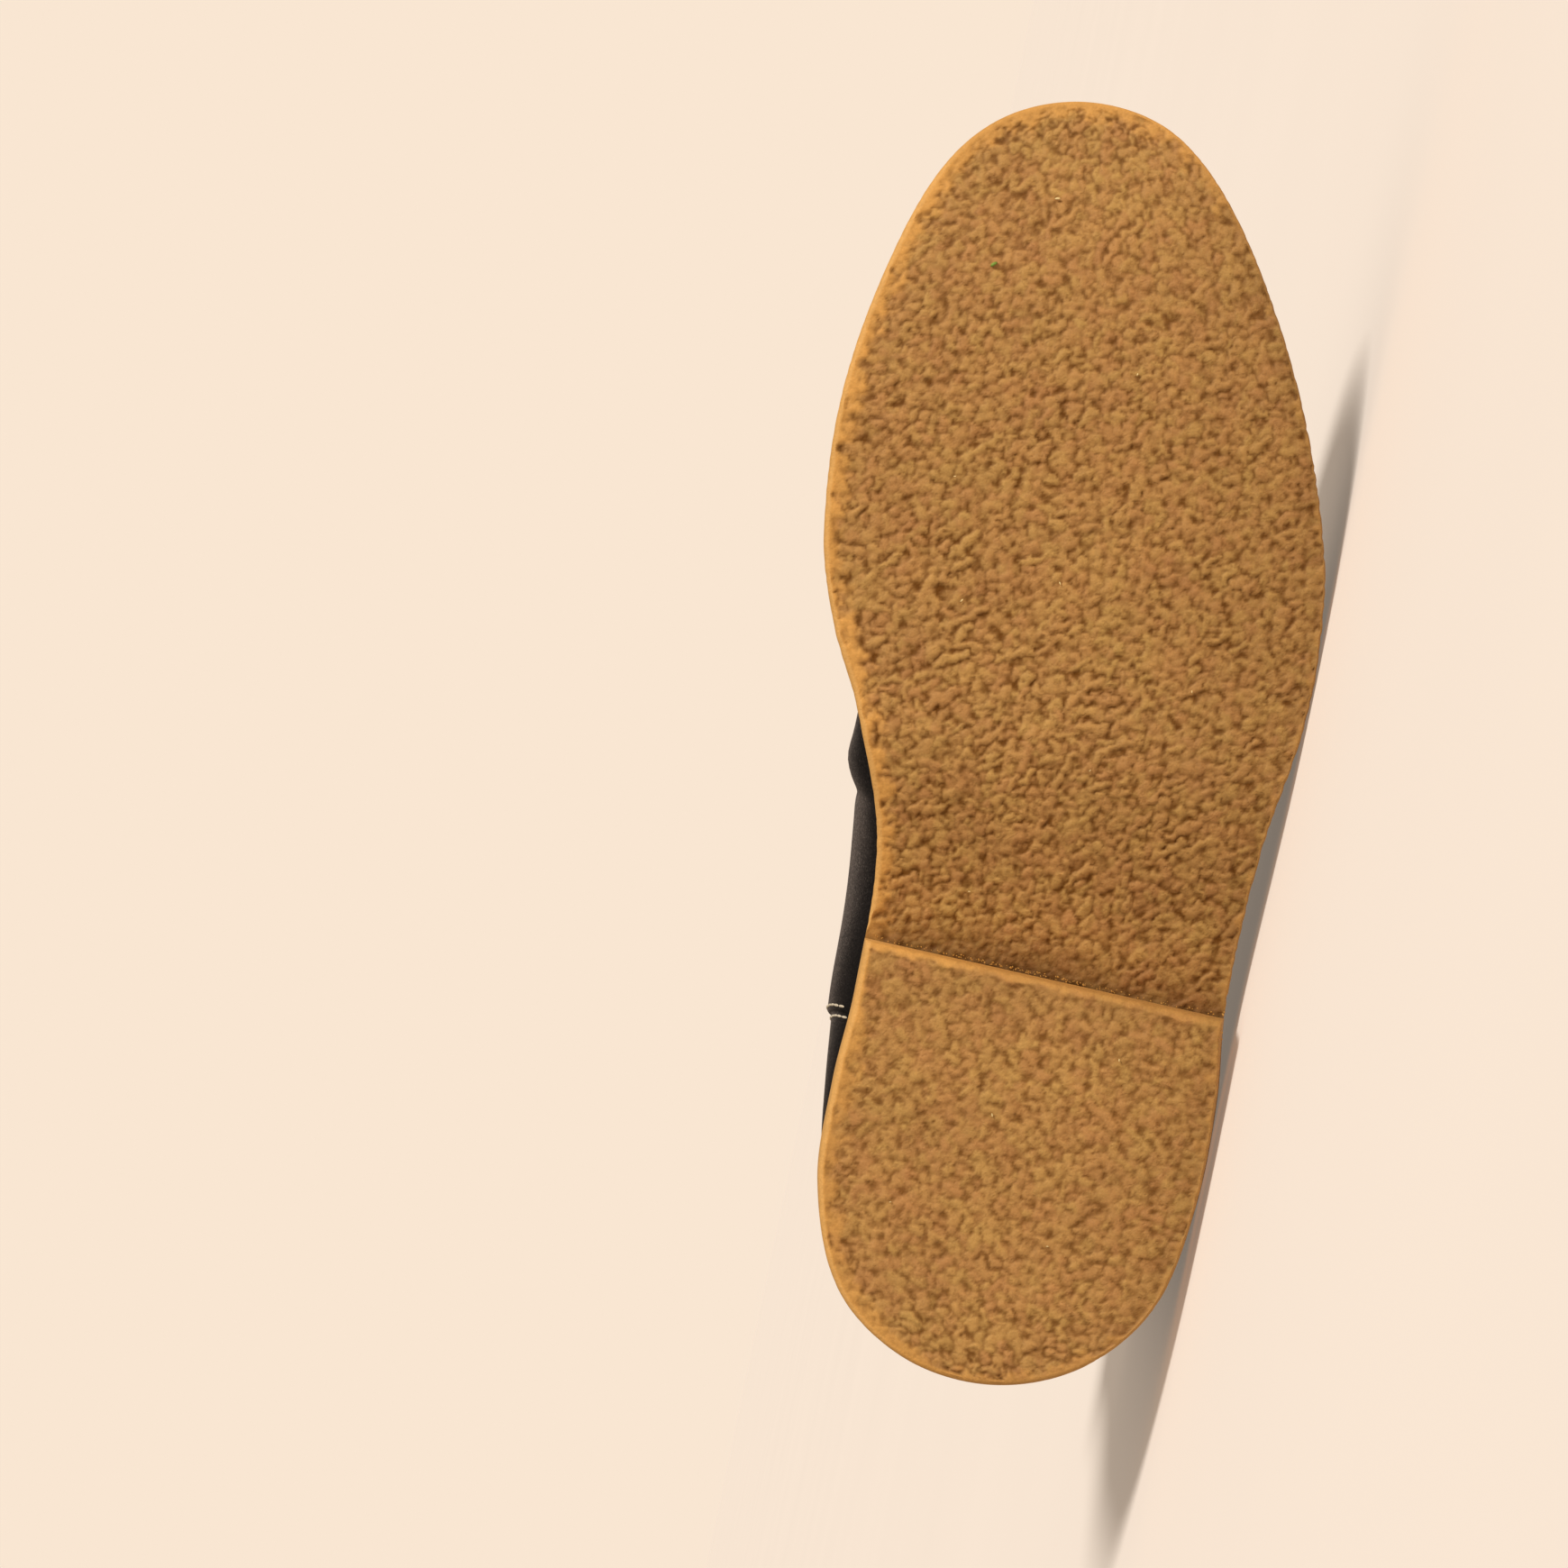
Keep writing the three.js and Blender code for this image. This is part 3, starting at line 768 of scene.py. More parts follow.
@dataclass
class CrepeRelief:
    """Height field of the crinkled crepe, from 0 in its crevices to about 1 on its lumps.

    Pairs such as the warps are a size and the scale of its noise in millimetres.
    """

    form: SoleForm
    seed: int = 11
    cell: float = 0.2
    margin: float = 3
    spacing: float = 2.3
    jitter: float = 0.5
    crevice: float = 1.05
    warps: tuple[Pair, ...] = ((0.4, 2.4), (0.16, 1.0))
    reach: float = 4.5
    # Least and most of a lump's size, length over width, top and tint
    lump_least: tuple[float, ...] = (0.72, 1.0, 0.6, 0.0)
    lump_most: tuple[float, ...] = (1.34, 1.7, 1.0, 1.0)
    # Roundness of a crevice's edge and floor, and how domed the lumps are over how wide a middle
    crevice_powers: Pair = (2.4, 0.6)
    dome: Pair = (0.22, 1.2)
    # Openness of the crevices: its mean, its spread, the scale of its noise and its least
    openness: tuple[float, ...] = (0.9, 0.3, 2.8, 0.3)
    # Turn in radians from the line across the boot to the way that the lumps lie
    grain_turn: float = 0.5
    lump_scatter: float = 0.7
    roll_scatter: float = 0.32
    roll_bend: float = 0.05
    roll_margin: float = 1.5
    # Trough round a roll: share of the height that it leaves, and where it ends, in the roll's radii
    trough_rest: float = 0.25
    trough_end: float = 1.5
    rolls: tuple[Rolls, ...] = (
        Rolls(110, (0.75, 0.8), (1.05, 2.2)),
        Rolls(90, (0.85, 2.2), (1.15, 4.8), gathered=True),
    )
    # Where long rolls gather: along and across coordinates, and how far they spread
    gatherings: tuple[Triple, ...] = ((172, -8, 17), (119, 27, 15), (97, 31, 8), (150, 22, 12))
    strays: float = 0.06
    # Slits: their depth, the width and stretch of the noise that they follow, and their thinness
    slit: float = 0.5
    slit_noise: Pair = (1.5, 2.4)
    slit_width: float = 0.2
    uneven: tuple[Pair, ...] = ((0.03, 0.5), (0.05, 5))
    raggedness: tuple[Pair, ...] = ((1, 3.5), (0.5, 1.5))

    def __post_init__(self) -> None:
        """Fills the height field over the whole sole, and what the finish reads beside it."""
        self.draw = np.random.default_rng(self.seed)
        half = self.form.ball_width * 0.6 + self.margin
        self.low = np.array([-self.margin, -half])
        self.spans = np.array([self.form.length + 2 * self.margin, 2 * half])
        self.shape = tuple(int(n / self.cell) for n in self.spans)
        self.place = np.mgrid[0 : self.shape[0], 0 : self.shape[1]] * self.cell
        for size, scale in self.warps:
            self.place = self.place + size * np.stack([self._noise(scale) for _ in range(2)])
        self.tints = np.zeros(self.shape)
        self.heights = self._lumps()
        for rolls in self.rolls:
            self._lay(rolls)
        thin = np.exp(-((self._streaks(*self.slit_noise) / self.slit_width) ** 2))
        self.heights *= 1 - self.slit * thin * ease(0.7 + 0.5 * self._noise(3))
        self.heights = self._blur(self.heights + self._mixed(self.uneven), 0.2)
        around = self.heights - self._blur(self.heights, 1.6)
        # Painted shade for the crevices' colour: low where the field is low or below its surroundings
        self.shades = 0.3 * ease((self.heights - 0.1) / 0.6) + 0.7 * ease((around + 0.34) / 0.42)
        self.ragged = self._mixed(self.raggedness)
        clouded = 0.7 * self._blur(self.tints, 0.3) + 0.15 + 0.07 * self._noise(12)
        self.tints = np.clip(clouded, 0, 1)

    def _waves(self) -> tuple[Array, Array]:
        """Waves per millimetre of the field's Fourier terms, along and across."""
        rows = np.fft.fftfreq(self.shape[0], self.cell)
        return rows[:, None], np.fft.rfftfreq(self.shape[1], self.cell)[None]

    def _keep(self, values: Array, shares: Array) -> Array:
        """A field with a share of each of its Fourier terms kept."""
        return np.fft.irfft2(np.fft.rfft2(values) * shares, s=self.shape)

    def _blur(self, values: Array, scale: float) -> Array:
        """Blurs a field by about scale millimetres."""
        rows, columns = self._waves()
        return self._keep(values, np.exp(-(rows**2 + columns**2) * (scale * 4.4) ** 2))

    def _noise(self, scale: float) -> Array:
        """Smooth noise of unit spread, with features of about scale millimetres."""
        noise = self._blur(self.draw.standard_normal(self.shape), scale * 0.3)
        return noise / noise.std()

    def _mixed(self, parts: tuple[Pair, ...]) -> Array:
        """Sum of noises, each with its size and scale."""
        return sum(size * self._noise(scale) for size, scale in parts)

    def _streaks(self, width: float, stretch: float) -> Array:
        """Smooth noise of unit spread that is drawn out the way that the lumps lie.

        Args:
            width: Width of its features, in millimetres.
            stretch: Their length over their width.

        Returns:
            The noise.
        """
        rows, columns = self._waves()
        sine, cosine = math.sin(self.grain_turn), math.cos(self.grain_turn)
        lengthwise, crosswise = rows * sine + columns * cosine, rows * cosine - columns * sine
        shares = np.exp(-((stretch * lengthwise) ** 2 + crosswise**2) * (width * 1.3) ** 2)
        noise = self._keep(self.draw.standard_normal(self.shape), shares)
        return noise / noise.std()

    def _window(self, centre: Array, reach: float) -> tuple[slice, slice]:
        """Part of the field within reach of a point."""
        low = np.maximum(((centre - reach) / self.cell).astype(int), 0)
        high = np.minimum(((centre + reach) / self.cell).astype(int) + 1, self.shape)
        return slice(low[0], high[0]), slice(low[1], high[1])

    def _turned(self, window: tuple[slice, slice], centre: Array, turn: float) -> tuple[Array, Array]:
        """Coordinates of a window's cells along and across a lump, from its centre.

        Args:
            window: Part of the field.
            centre: Centre of the lump.
            turn: Direction of its length, in radians.

        Returns:
            Both coordinates, in millimetres.
        """
        place = self.place[(slice(None), *window)]
        x, y = place[0] - centre[0], place[1] - centre[1]
        return x * math.cos(turn) + y * math.sin(turn), y * math.cos(turn) - x * math.sin(turn)

    def _lumps(self) -> Array:
        """Packs lumps side by side, with crevices between them.

        Returns:
            Their heights over the field.
        """
        nearest, second = np.full(self.shape, 9.0), np.full(self.shape, 9.0)
        tops = np.zeros(self.shape)
        counts = (self.spans / self.spacing).astype(int) + 1
        for cell in np.ndindex(*counts):
            jitter = self.draw.uniform(-self.jitter, self.jitter, 2)
            centre = (np.array(cell) + 0.5 + jitter) * self.spacing
            size, longer, top, tint = self.draw.uniform(self.lump_least, self.lump_most)
            turn = math.pi / 2 - self.draw.normal(self.grain_turn, self.lump_scatter)
            window = self._window(centre, self.reach)
            u, v = self._turned(window, centre, turn)
            distance = np.hypot(u / longer, v) / size
            near = nearest[window]
            closer = distance < near
            second[window] = np.where(closer, near, np.minimum(second[window], distance))
            tops[window][closer] = top
            self.tints[window][closer] = tint
            nearest[window] = np.minimum(near, distance)
        edge = np.clip((second - nearest) / self.crevice, 0, 1)
        edge = (1 - (1 - edge) ** self.crevice_powers[0]) ** self.crevice_powers[1]
        mean, spread, scale, least = self.openness
        openness = np.clip(mean + spread * self._noise(scale), least, 1)
        dome = 1 - self.dome[0] * np.clip(nearest / self.dome[1], 0, 1.3) ** 2
        return tops * dome * (1 - openness * (1 - edge))

    def _lay(self, rolls: Rolls) -> None:
        """Lays rolls over the lumps, each with a trough round it.

        Args:
            rolls: How large and how many they are.
        """
        for _ in range(int(self.spans.prod() / rolls.area)):
            centre = self.draw.uniform((0, 0), self.spans)
            radius, half = self.draw.uniform(rolls.least, rolls.most)
            top, tint, chance = self.draw.uniform((0.8, 0.0, 0.0), (1.0, 1.0, 1.0))
            turn = math.pi / 2 - self.draw.normal(self.grain_turn, self.roll_scatter)
            if rolls.gathered and chance > self.strays + self._gathering(centre):
                continue
            window = self._window(centre, half + radius + self.roll_margin)
            u, v = self._turned(window, centre, turn)
            v = v + self.roll_bend * self.draw.normal(0, 1) * u**2 / max(half, 1)
            distance = np.hypot(np.maximum(abs(u) - half, 0), v) / radius
            climb = np.clip((distance - 1) / (self.trough_end - 1), 0, 1)
            rim = self.trough_rest + (1 - self.trough_rest) * climb
            trough = np.where(distance < self.trough_end, rim, 1)
            roll = top * np.clip(1 - distance**2.8, 0, 1) ** 0.5
            self.heights[window] = np.maximum(self.heights[window] * trough, roll)
            self.tints[window][distance < 1] = tint

    def _gathering(self, centre: Array) -> float:
        """How densely long rolls lie at a point of the field, from 0 to 1."""
        shares = (math.dist(centre + self.low, (x, y)) / spread for x, y, spread in self.gatherings)
        return max(math.exp(-(share**2)) for share in shares)

    def at(self, values: Array, along: Array, across: Array) -> Array:
        """Reads one of the fields.

        Args:
            values: The field, such as the heights.
            along: Along coordinates in boot millimetres.
            across: Across coordinates.

        Returns:
            The field's values there.
        """
        x = (along - self.low[0]) / self.cell
        y = (across - self.low[1]) / self.cell
        i = np.clip(x.astype(int), 0, self.shape[0] - 2)
        j = np.clip(y.astype(int), 0, self.shape[1] - 2)
        s, t = np.clip(x - i, 0, 1), np.clip(y - j, 0, 1)
        near = values[i, j] * (1 - t) + values[i, j + 1] * t
        far = values[i + 1, j] * (1 - t) + values[i + 1, j + 1] * t
        return near * (1 - s) + far * s


@dataclass
class Marks:
    """What the crepe's material reads at each point of a plate's sections, from 0 to 1."""

    # The first mark carries painted shade in the crevices, the third the paler border with painted
    # highlight, and the last painted shade with some dirt
    relief: Array
    tint: Array
    border: Array
    dirt_and_shade: Array

    @classmethod
    def plain(cls, shape: tuple[int, int]) -> "Marks":
        """Marks of a smooth, clean plate."""
        return cls(np.ones(shape), np.full(shape, 0.5), np.ones(shape), np.zeros(shape))

    def keep(self, piece: Piece) -> None:
        """Keeps the marks on a piece's vertices."""
        for name, values in vars(self).items():
            store(piece, name, values.ravel())


@dataclass
class CrepeSole:
    """The crepe outsole and heel, with their crinkled treads, in millimetres and shares."""

    axes: BootAxes
    form: SoleForm
    relief: CrepeRelief
    depth: float = 1.15
    # Width of the smooth border, how far the crinkles fade in behind it, its raggedness and its glow,
    # the width of its pale band, which is partly painted highlight
    smooth_border: float = 0.9
    border_fade: float = 3.6
    border_ragged: float = 1.1
    glow: float = 6.0
    # Where across the boot the border narrows, over what width, and its width along the boot's ends
    border_inner: Pair = (0.42, 70)
    border_ends: tuple[tuple[float, ...], ...] = ((0, 0.06, 0.85, 0.97), (0.45, 0.3, 0.1, 0.75))
    # The same at the heel's breast, from breast_start to breast_run further, and the breast's rounding
    breast_smooth: float = 1.3
    breast_fade: float = 1.6
    breast_even: float = 0.6
    breast_glow: float = 2.6
    breast_start: float = 14
    breast_run: float = 6
    breast_round: float = 2.2
    heel_border: float = 0.72
    # Calmer crinkles on the heel and from calm_start to the toe
    calm: float = 0.14
    calm_start: float = 0.76
    calm_run: float = 0.12
    # Painted shade towards the outer side, which faces away from the light; darkening along the edges;
    # dirt round the heel; and painted shade before the breast
    painted_outer_shade: float = 0.16
    edge_darkening: float = 0.16
    heel_dirt: float = 0.14
    darkening_width: float = 7
    # Painted shade before the breast, where the arch turns from the light: size and reach of each part,
    # and its spread across
    painted_breast_shade: tuple[Pair, ...] = ((0.62, 11), (0.25, 2.5))
    painted_breast_shade_spread: float = 26
    # Nicks in the edge, how high they reach, and how much sharper the outer edge is
    nick: float = 0.4
    nick_height: float = 6
    nicks: int = 400
    sharper: float = 0.6
    # Cells of the meshes, and points along their rims
    bevel_steps: int = 4
    wall_rings: int = 5
    rim_points: int = 1500
    heel_rim_step: float = 0.25
    breast_points: int = 400
    columns: int = 194
    row_step: float = 0.53
    heel_columns: int = 150
    heel_row_step: float = 0.56
    hidden_step: float = 7

    def build(self) -> None:
        """Builds both pieces."""
        material = CrepeFinish().material()
        self._outsole(material)
        self._heel(material)

    def _arc(self) -> Array:
        """Insets and rises of a rounded lower edge, from the wall to the tread."""
        turn = np.linspace(0, math.pi / 2, self.bevel_steps + 1)
        return self.form.edge_bevel * np.array([1 - np.cos(turn), 1 - np.sin(turn)])

    def _nicks(self, side: Side, angles: Array) -> Array:
        """Depths of the nicks in one edge, which fade to its ends.

        Args:
            side: Side of the boot.
            angles: Angles of the rows.

        Returns:
            Millimetres, one for each row.
        """
        draw = np.random.default_rng(side.value + 7)
        share = 0.4 if side is Side.INNER else 1.0
        depths = self.nick * draw.uniform(0, 1, self.nicks) ** 3 * share
        return np.interp(angles, np.linspace(0, math.pi, self.nicks), depths) * np.sin(angles)

    def _section(self, angles: Array, insets: Array, rises: Array, tread: Array, columns: int) -> Array:
        """Closed sections of a plate, one for each row.

        Args:
            angles: Angles of the rows.
            insets: Inset of each ring from the top down to the tread, one row for each angle.
            rises: Height of each ring above the ground, one row for each angle.
            tread: Height of the tread of each row.
            columns: Cells across the tread.

        Returns:
            Boot millimetres, as rows by points round the section by three, with the first repeated.
        """
        bevel = slice(-self.bevel_steps, None)
        sharp = self.sharper * np.sqrt(np.sin(angles))[:, None]
        sides = []
        for side in Side:
            low_down = ease(1 - (rises - rises[:, -1:]) / self.nick_height)
            inset = insets + self._nicks(side, angles)[:, None] * low_down
            if side is Side.OUTER:
                inset[:, bevel] -= sharp * (insets[:, bevel] - insets[:, [-self.bevel_steps - 1]])
            plan = [self.form.edge(side, angles, ring) for ring in inset.T]
            sides.append(np.concatenate([np.stack(plan, axis=1), rises[:, :, None]], axis=2))
        inner, outer = sides
        share = np.linspace(0, 1, columns + 1)[1:-1, None]
        across = inner[:, -1:, :] * (1 - share) + outer[:, -1:, :] * share
        across[:, :, 2] = tread[:, None]
        return np.concatenate([inner, across, outer[:, ::-1], inner[:, :1]], axis=1)

    @staticmethod
    def _from_rim(points: Array, rim: Array) -> Array:
        """How far points of the tread are from its rim in plan.

        Args:
            points: Points of the tread.
            rim: Points round its rim.

        Returns:
            Millimetres, one for each point.
        """
        tree = kdtree.KDTree(len(rim))
        for k, place in enumerate(rim):
            tree.insert((place[0], place[1], 0), k)
        tree.balance()
        return np.array([tree.find((p[0], p[1], 0))[2] for p in points])

    def _width(self, place: Array) -> Array:
        """How wide the bright border is: widest on the inner side, and next to nothing on the outer."""
        share = place[..., 0] / self.form.length
        start, run = self.border_inner
        return np.maximum(ease(start - place[..., 1] / run), np.interp(share, *self.border_ends))

    def _crinkle(
        self, points: Array, rows: slice, first: int, columns: int, rim: Array, heel: bool
    ) -> Marks:
        """Presses the relief into the tread, and works out what its colour reads.

        Args:
            points: Sections of the plate, changed in place.
            rows: Rows of the plate that show.
            first: First column of the tread.
            columns: Cells across the tread.
            rim: Points round the tread where the border is smooth.
            heel: Whether the plate is the heel, which has the relief from its other side.

        Returns:
            What the material reads at every point of the sections.
        """
        marks = Marks.plain(points.shape[:2])
        here = (rows, slice(first, first + columns + 1))
        tread, relief = points[here], self.relief
        along, across = tread[..., 0], tread[..., 1]
        place = (along, -across if heel else across)
        far = self._from_rim(tread.reshape(-1, 3), rim).reshape(along.shape)
        ragged = self.border_ragged * relief.at(relief.ragged, *place)
        wide = self._width(tread)
        smooth, fade = self.smooth_border * wide, self.border_fade * (0.1 + 0.9 * wide)
        glow = self.glow * wide + 0.4
        calm = 1 - self.calm * ease((along / self.form.length - self.calm_start) / self.calm_run)
        ahead = 0.0
        if heel:
            calm = 1 - self.calm
            ahead = ease((along - self.form.heel_length + self.breast_start) / self.breast_run)
            smooth = smooth + ahead * (self.breast_smooth - smooth)
            fade = fade + ahead * (self.breast_fade - fade)
            glow = glow + ahead * (self.breast_glow - glow)
            ragged = ragged * (1 - self.breast_even * ahead)
            wide = wide * (self.heel_border + (1 - self.heel_border) * ahead)
        shown = ease((far + ragged * (0.3 + 0.7 * wide) - smooth) / fade)
        kept = ease((far - 0.4 + 0.4 * wide) / (0.5 + 0.4 * wide))
        sunk = np.clip(1.05 - relief.at(relief.heights, *place), 0, 1.1)
        tread[..., 2] += self.depth * calm * (0.2 + 0.8 * shown) * kept * sunk
        # Painted shade in the crevices, weaker where the crinkles are calm or fade out
        dark = calm * (1 - relief.at(relief.shades, *place))
        marks.relief[here] = 1 - dark * (0.25 + 0.75 * shown)
        marks.tint[here] = relief.at(relief.tints, *place)
        # Paler band along the border, partly the smooth rubber's tone and partly painted highlight,
        # widest on the inner side, which faces the light
        bright = 1 - ease((far + 0.8 * ragged - 0.2 * glow) / (0.8 * glow))
        marks.border[here] = bright * (0.3 + 0.7 * wide)
        near = 1 - ease(far / self.darkening_width)
        # Painted shade towards the outer side, away from the light, and darkening near the edges where
        # the border is narrow; dirt round the heel
        shade_and_darkening = self.painted_outer_shade * ease((across - 5) / 50) + self.edge_darkening * near * (1 - wide)
        marks.dirt_and_shade[here] = shade_and_darkening + (self.heel_dirt * near * wide * (1 - ahead) if heel else 0)
        # On the walls: painted highlight in the rim's colour on the inner side, which faces the light,
        # and painted shade with darkening on the outer side
        for wall in (slice(0, first), slice(first + columns + 1, None)):
            side = self._width(points[rows, wall])
            marks.border[rows, wall] = 1.25 * side
            marks.dirt_and_shade[rows, wall] = (self.painted_outer_shade + self.edge_darkening) * (1 - side)
        return marks

    def _piece(self, name: str, points: Array, marks: Marks) -> Piece:
        """Makes the mesh of a plate.

        Args:
            name: Name of the piece.
            points: Sections of the plate.
            marks: What its material reads.

        Returns:
            The piece.
        """
        piece = grid_piece(name, self.axes.to_row(points))
        marks.keep(piece)
        weld(piece, 2e-6)
        return piece

    def _outsole(self, material: Material) -> None:
        """Builds the outsole, fine ahead of the heel and coarse where the heel hides it.

        Args:
            material: The crepe's finish.
        """
        form = self.form
        hidden = form.even_rows(0, form.breast, self.hidden_step)[:-1]
        angles = np.concatenate([hidden, form.even_rows(form.breast, 1, self.row_step)])
        share = form.share_at(angles)
        tread = form.tread(share)
        fade = ease((share - form.breast) / form.bevel_run)[:, None]
        arc_in, arc_up = self._arc()[:, 1:]
        walls = np.linspace(form.thickness - form.top_round, form.edge_bevel, self.wall_rings)
        top_in = form.top_round * np.array([1, 0.3])
        top_up = form.thickness - form.top_round * np.array([0, 0.3])
        upper_insets = np.tile([*top_in, *np.zeros(len(walls))], (len(angles), 1))
        insets = np.concatenate([upper_insets, arc_in * fade], axis=1)
        rises = np.concatenate([top_up, walls, arc_up]) + tread[:, None]
        points = self._section(angles, insets, rises, tread, self.columns)
        first = insets.shape[1] - 1
        ahead = np.linspace(form.angle_at(form.breast), math.pi, self.rim_points)
        rim = np.concatenate([form.edge(side, ahead) for side in Side])
        shown = slice(len(hidden), None)
        marks = self._crinkle(points, shown, first, self.columns, rim, heel=False)
        # Painted shade before the heel's breast, strongest in the middle, where the arch slopes away
        # from the light
        behind = (share - form.breast)[:, None] * form.length
        across = points[:, first : first + self.columns + 1, 1]
        middle = np.exp(-((across / self.painted_breast_shade_spread) ** 2))
        breast_shading = sum(size * ease(1 - behind / reach) for size, reach in self.painted_breast_shade)
        marks.dirt_and_shade[:, first : first + self.columns + 1] += breast_shading * (0.55 + 0.45 * middle)
        piece = self._piece("outsole_crepe", points, marks)
        finish_piece(piece, material, Slot.CREPE, "outsole", angle=60)

    def _heel(self, material: Material) -> None:
        """Builds the heel, with its rounded breast.

        Args:
            material: The crepe's finish.
        """
        form, rounding = self.form, self.breast_round
        top = form.heel_height - form.clearance
        angles = form.even_rows(0, form.breast, self.heel_row_step)
        close = np.linspace(0, rounding, 9)[:-1] / form.length
        rear = form.share_at(angles) < form.breast - rounding / form.length
        angles = np.concatenate([angles[rear], form.angle_at(form.breast - close[::-1])])
        left = (form.breast - form.share_at(angles)) * form.length
        lean = np.clip(1 - left / rounding, 0, 1)
        tread = rounding * (1 - np.sqrt(1 - lean**2))
        arc_in, arc_up = self._arc()
        walls = np.linspace(top, rounding, self.wall_rings + 1)
        lower = tread[:, None] + (rounding - tread[:, None]) * arc_up / rounding
        rises = np.concatenate([np.tile(walls, (len(angles), 1)), lower], axis=1)
        bevels = np.concatenate([np.zeros(len(walls)), arc_in])
        insets = bevels + form.heel_taper * (1 - rises / top)
        points = self._section(angles, insets, rises, tread, self.heel_columns)
        around = form.even_rows(0, form.breast, self.heel_rim_step)
        sides = [form.edge(side, around, form.heel_taper) for side in Side]
        across = np.linspace(0, 1, self.breast_points)[:, None]
        rim = np.concatenate([*sides, sides[0][-1] * (1 - across) + sides[1][-1] * across])
        first = insets.shape[1] - 1
        marks = self._crinkle(points, slice(None), first, self.heel_columns, rim, heel=True)
        piece = self._piece("heel_crepe", points, marks)
        self._close(piece)
        finish_piece(piece, material, Slot.CREPE, "heel", angle=60)

    @staticmethod
    def _close(piece: Piece) -> None:
        """Fills the open end of a plate.

        Args:
            piece: The plate's mesh object.
        """
        activate(piece)
        bpy.ops.object.mode_set(mode="EDIT")
        bpy.ops.mesh.select_all(action="DESELECT")
        bpy.ops.mesh.select_mode(type="EDGE")
        bpy.ops.mesh.select_non_manifold()
        bpy.ops.mesh.edge_face_add()
        bpy.ops.mesh.select_all(action="SELECT")
        bpy.ops.mesh.normals_make_consistent(inside=False)
        bpy.ops.object.mode_set(mode="OBJECT")


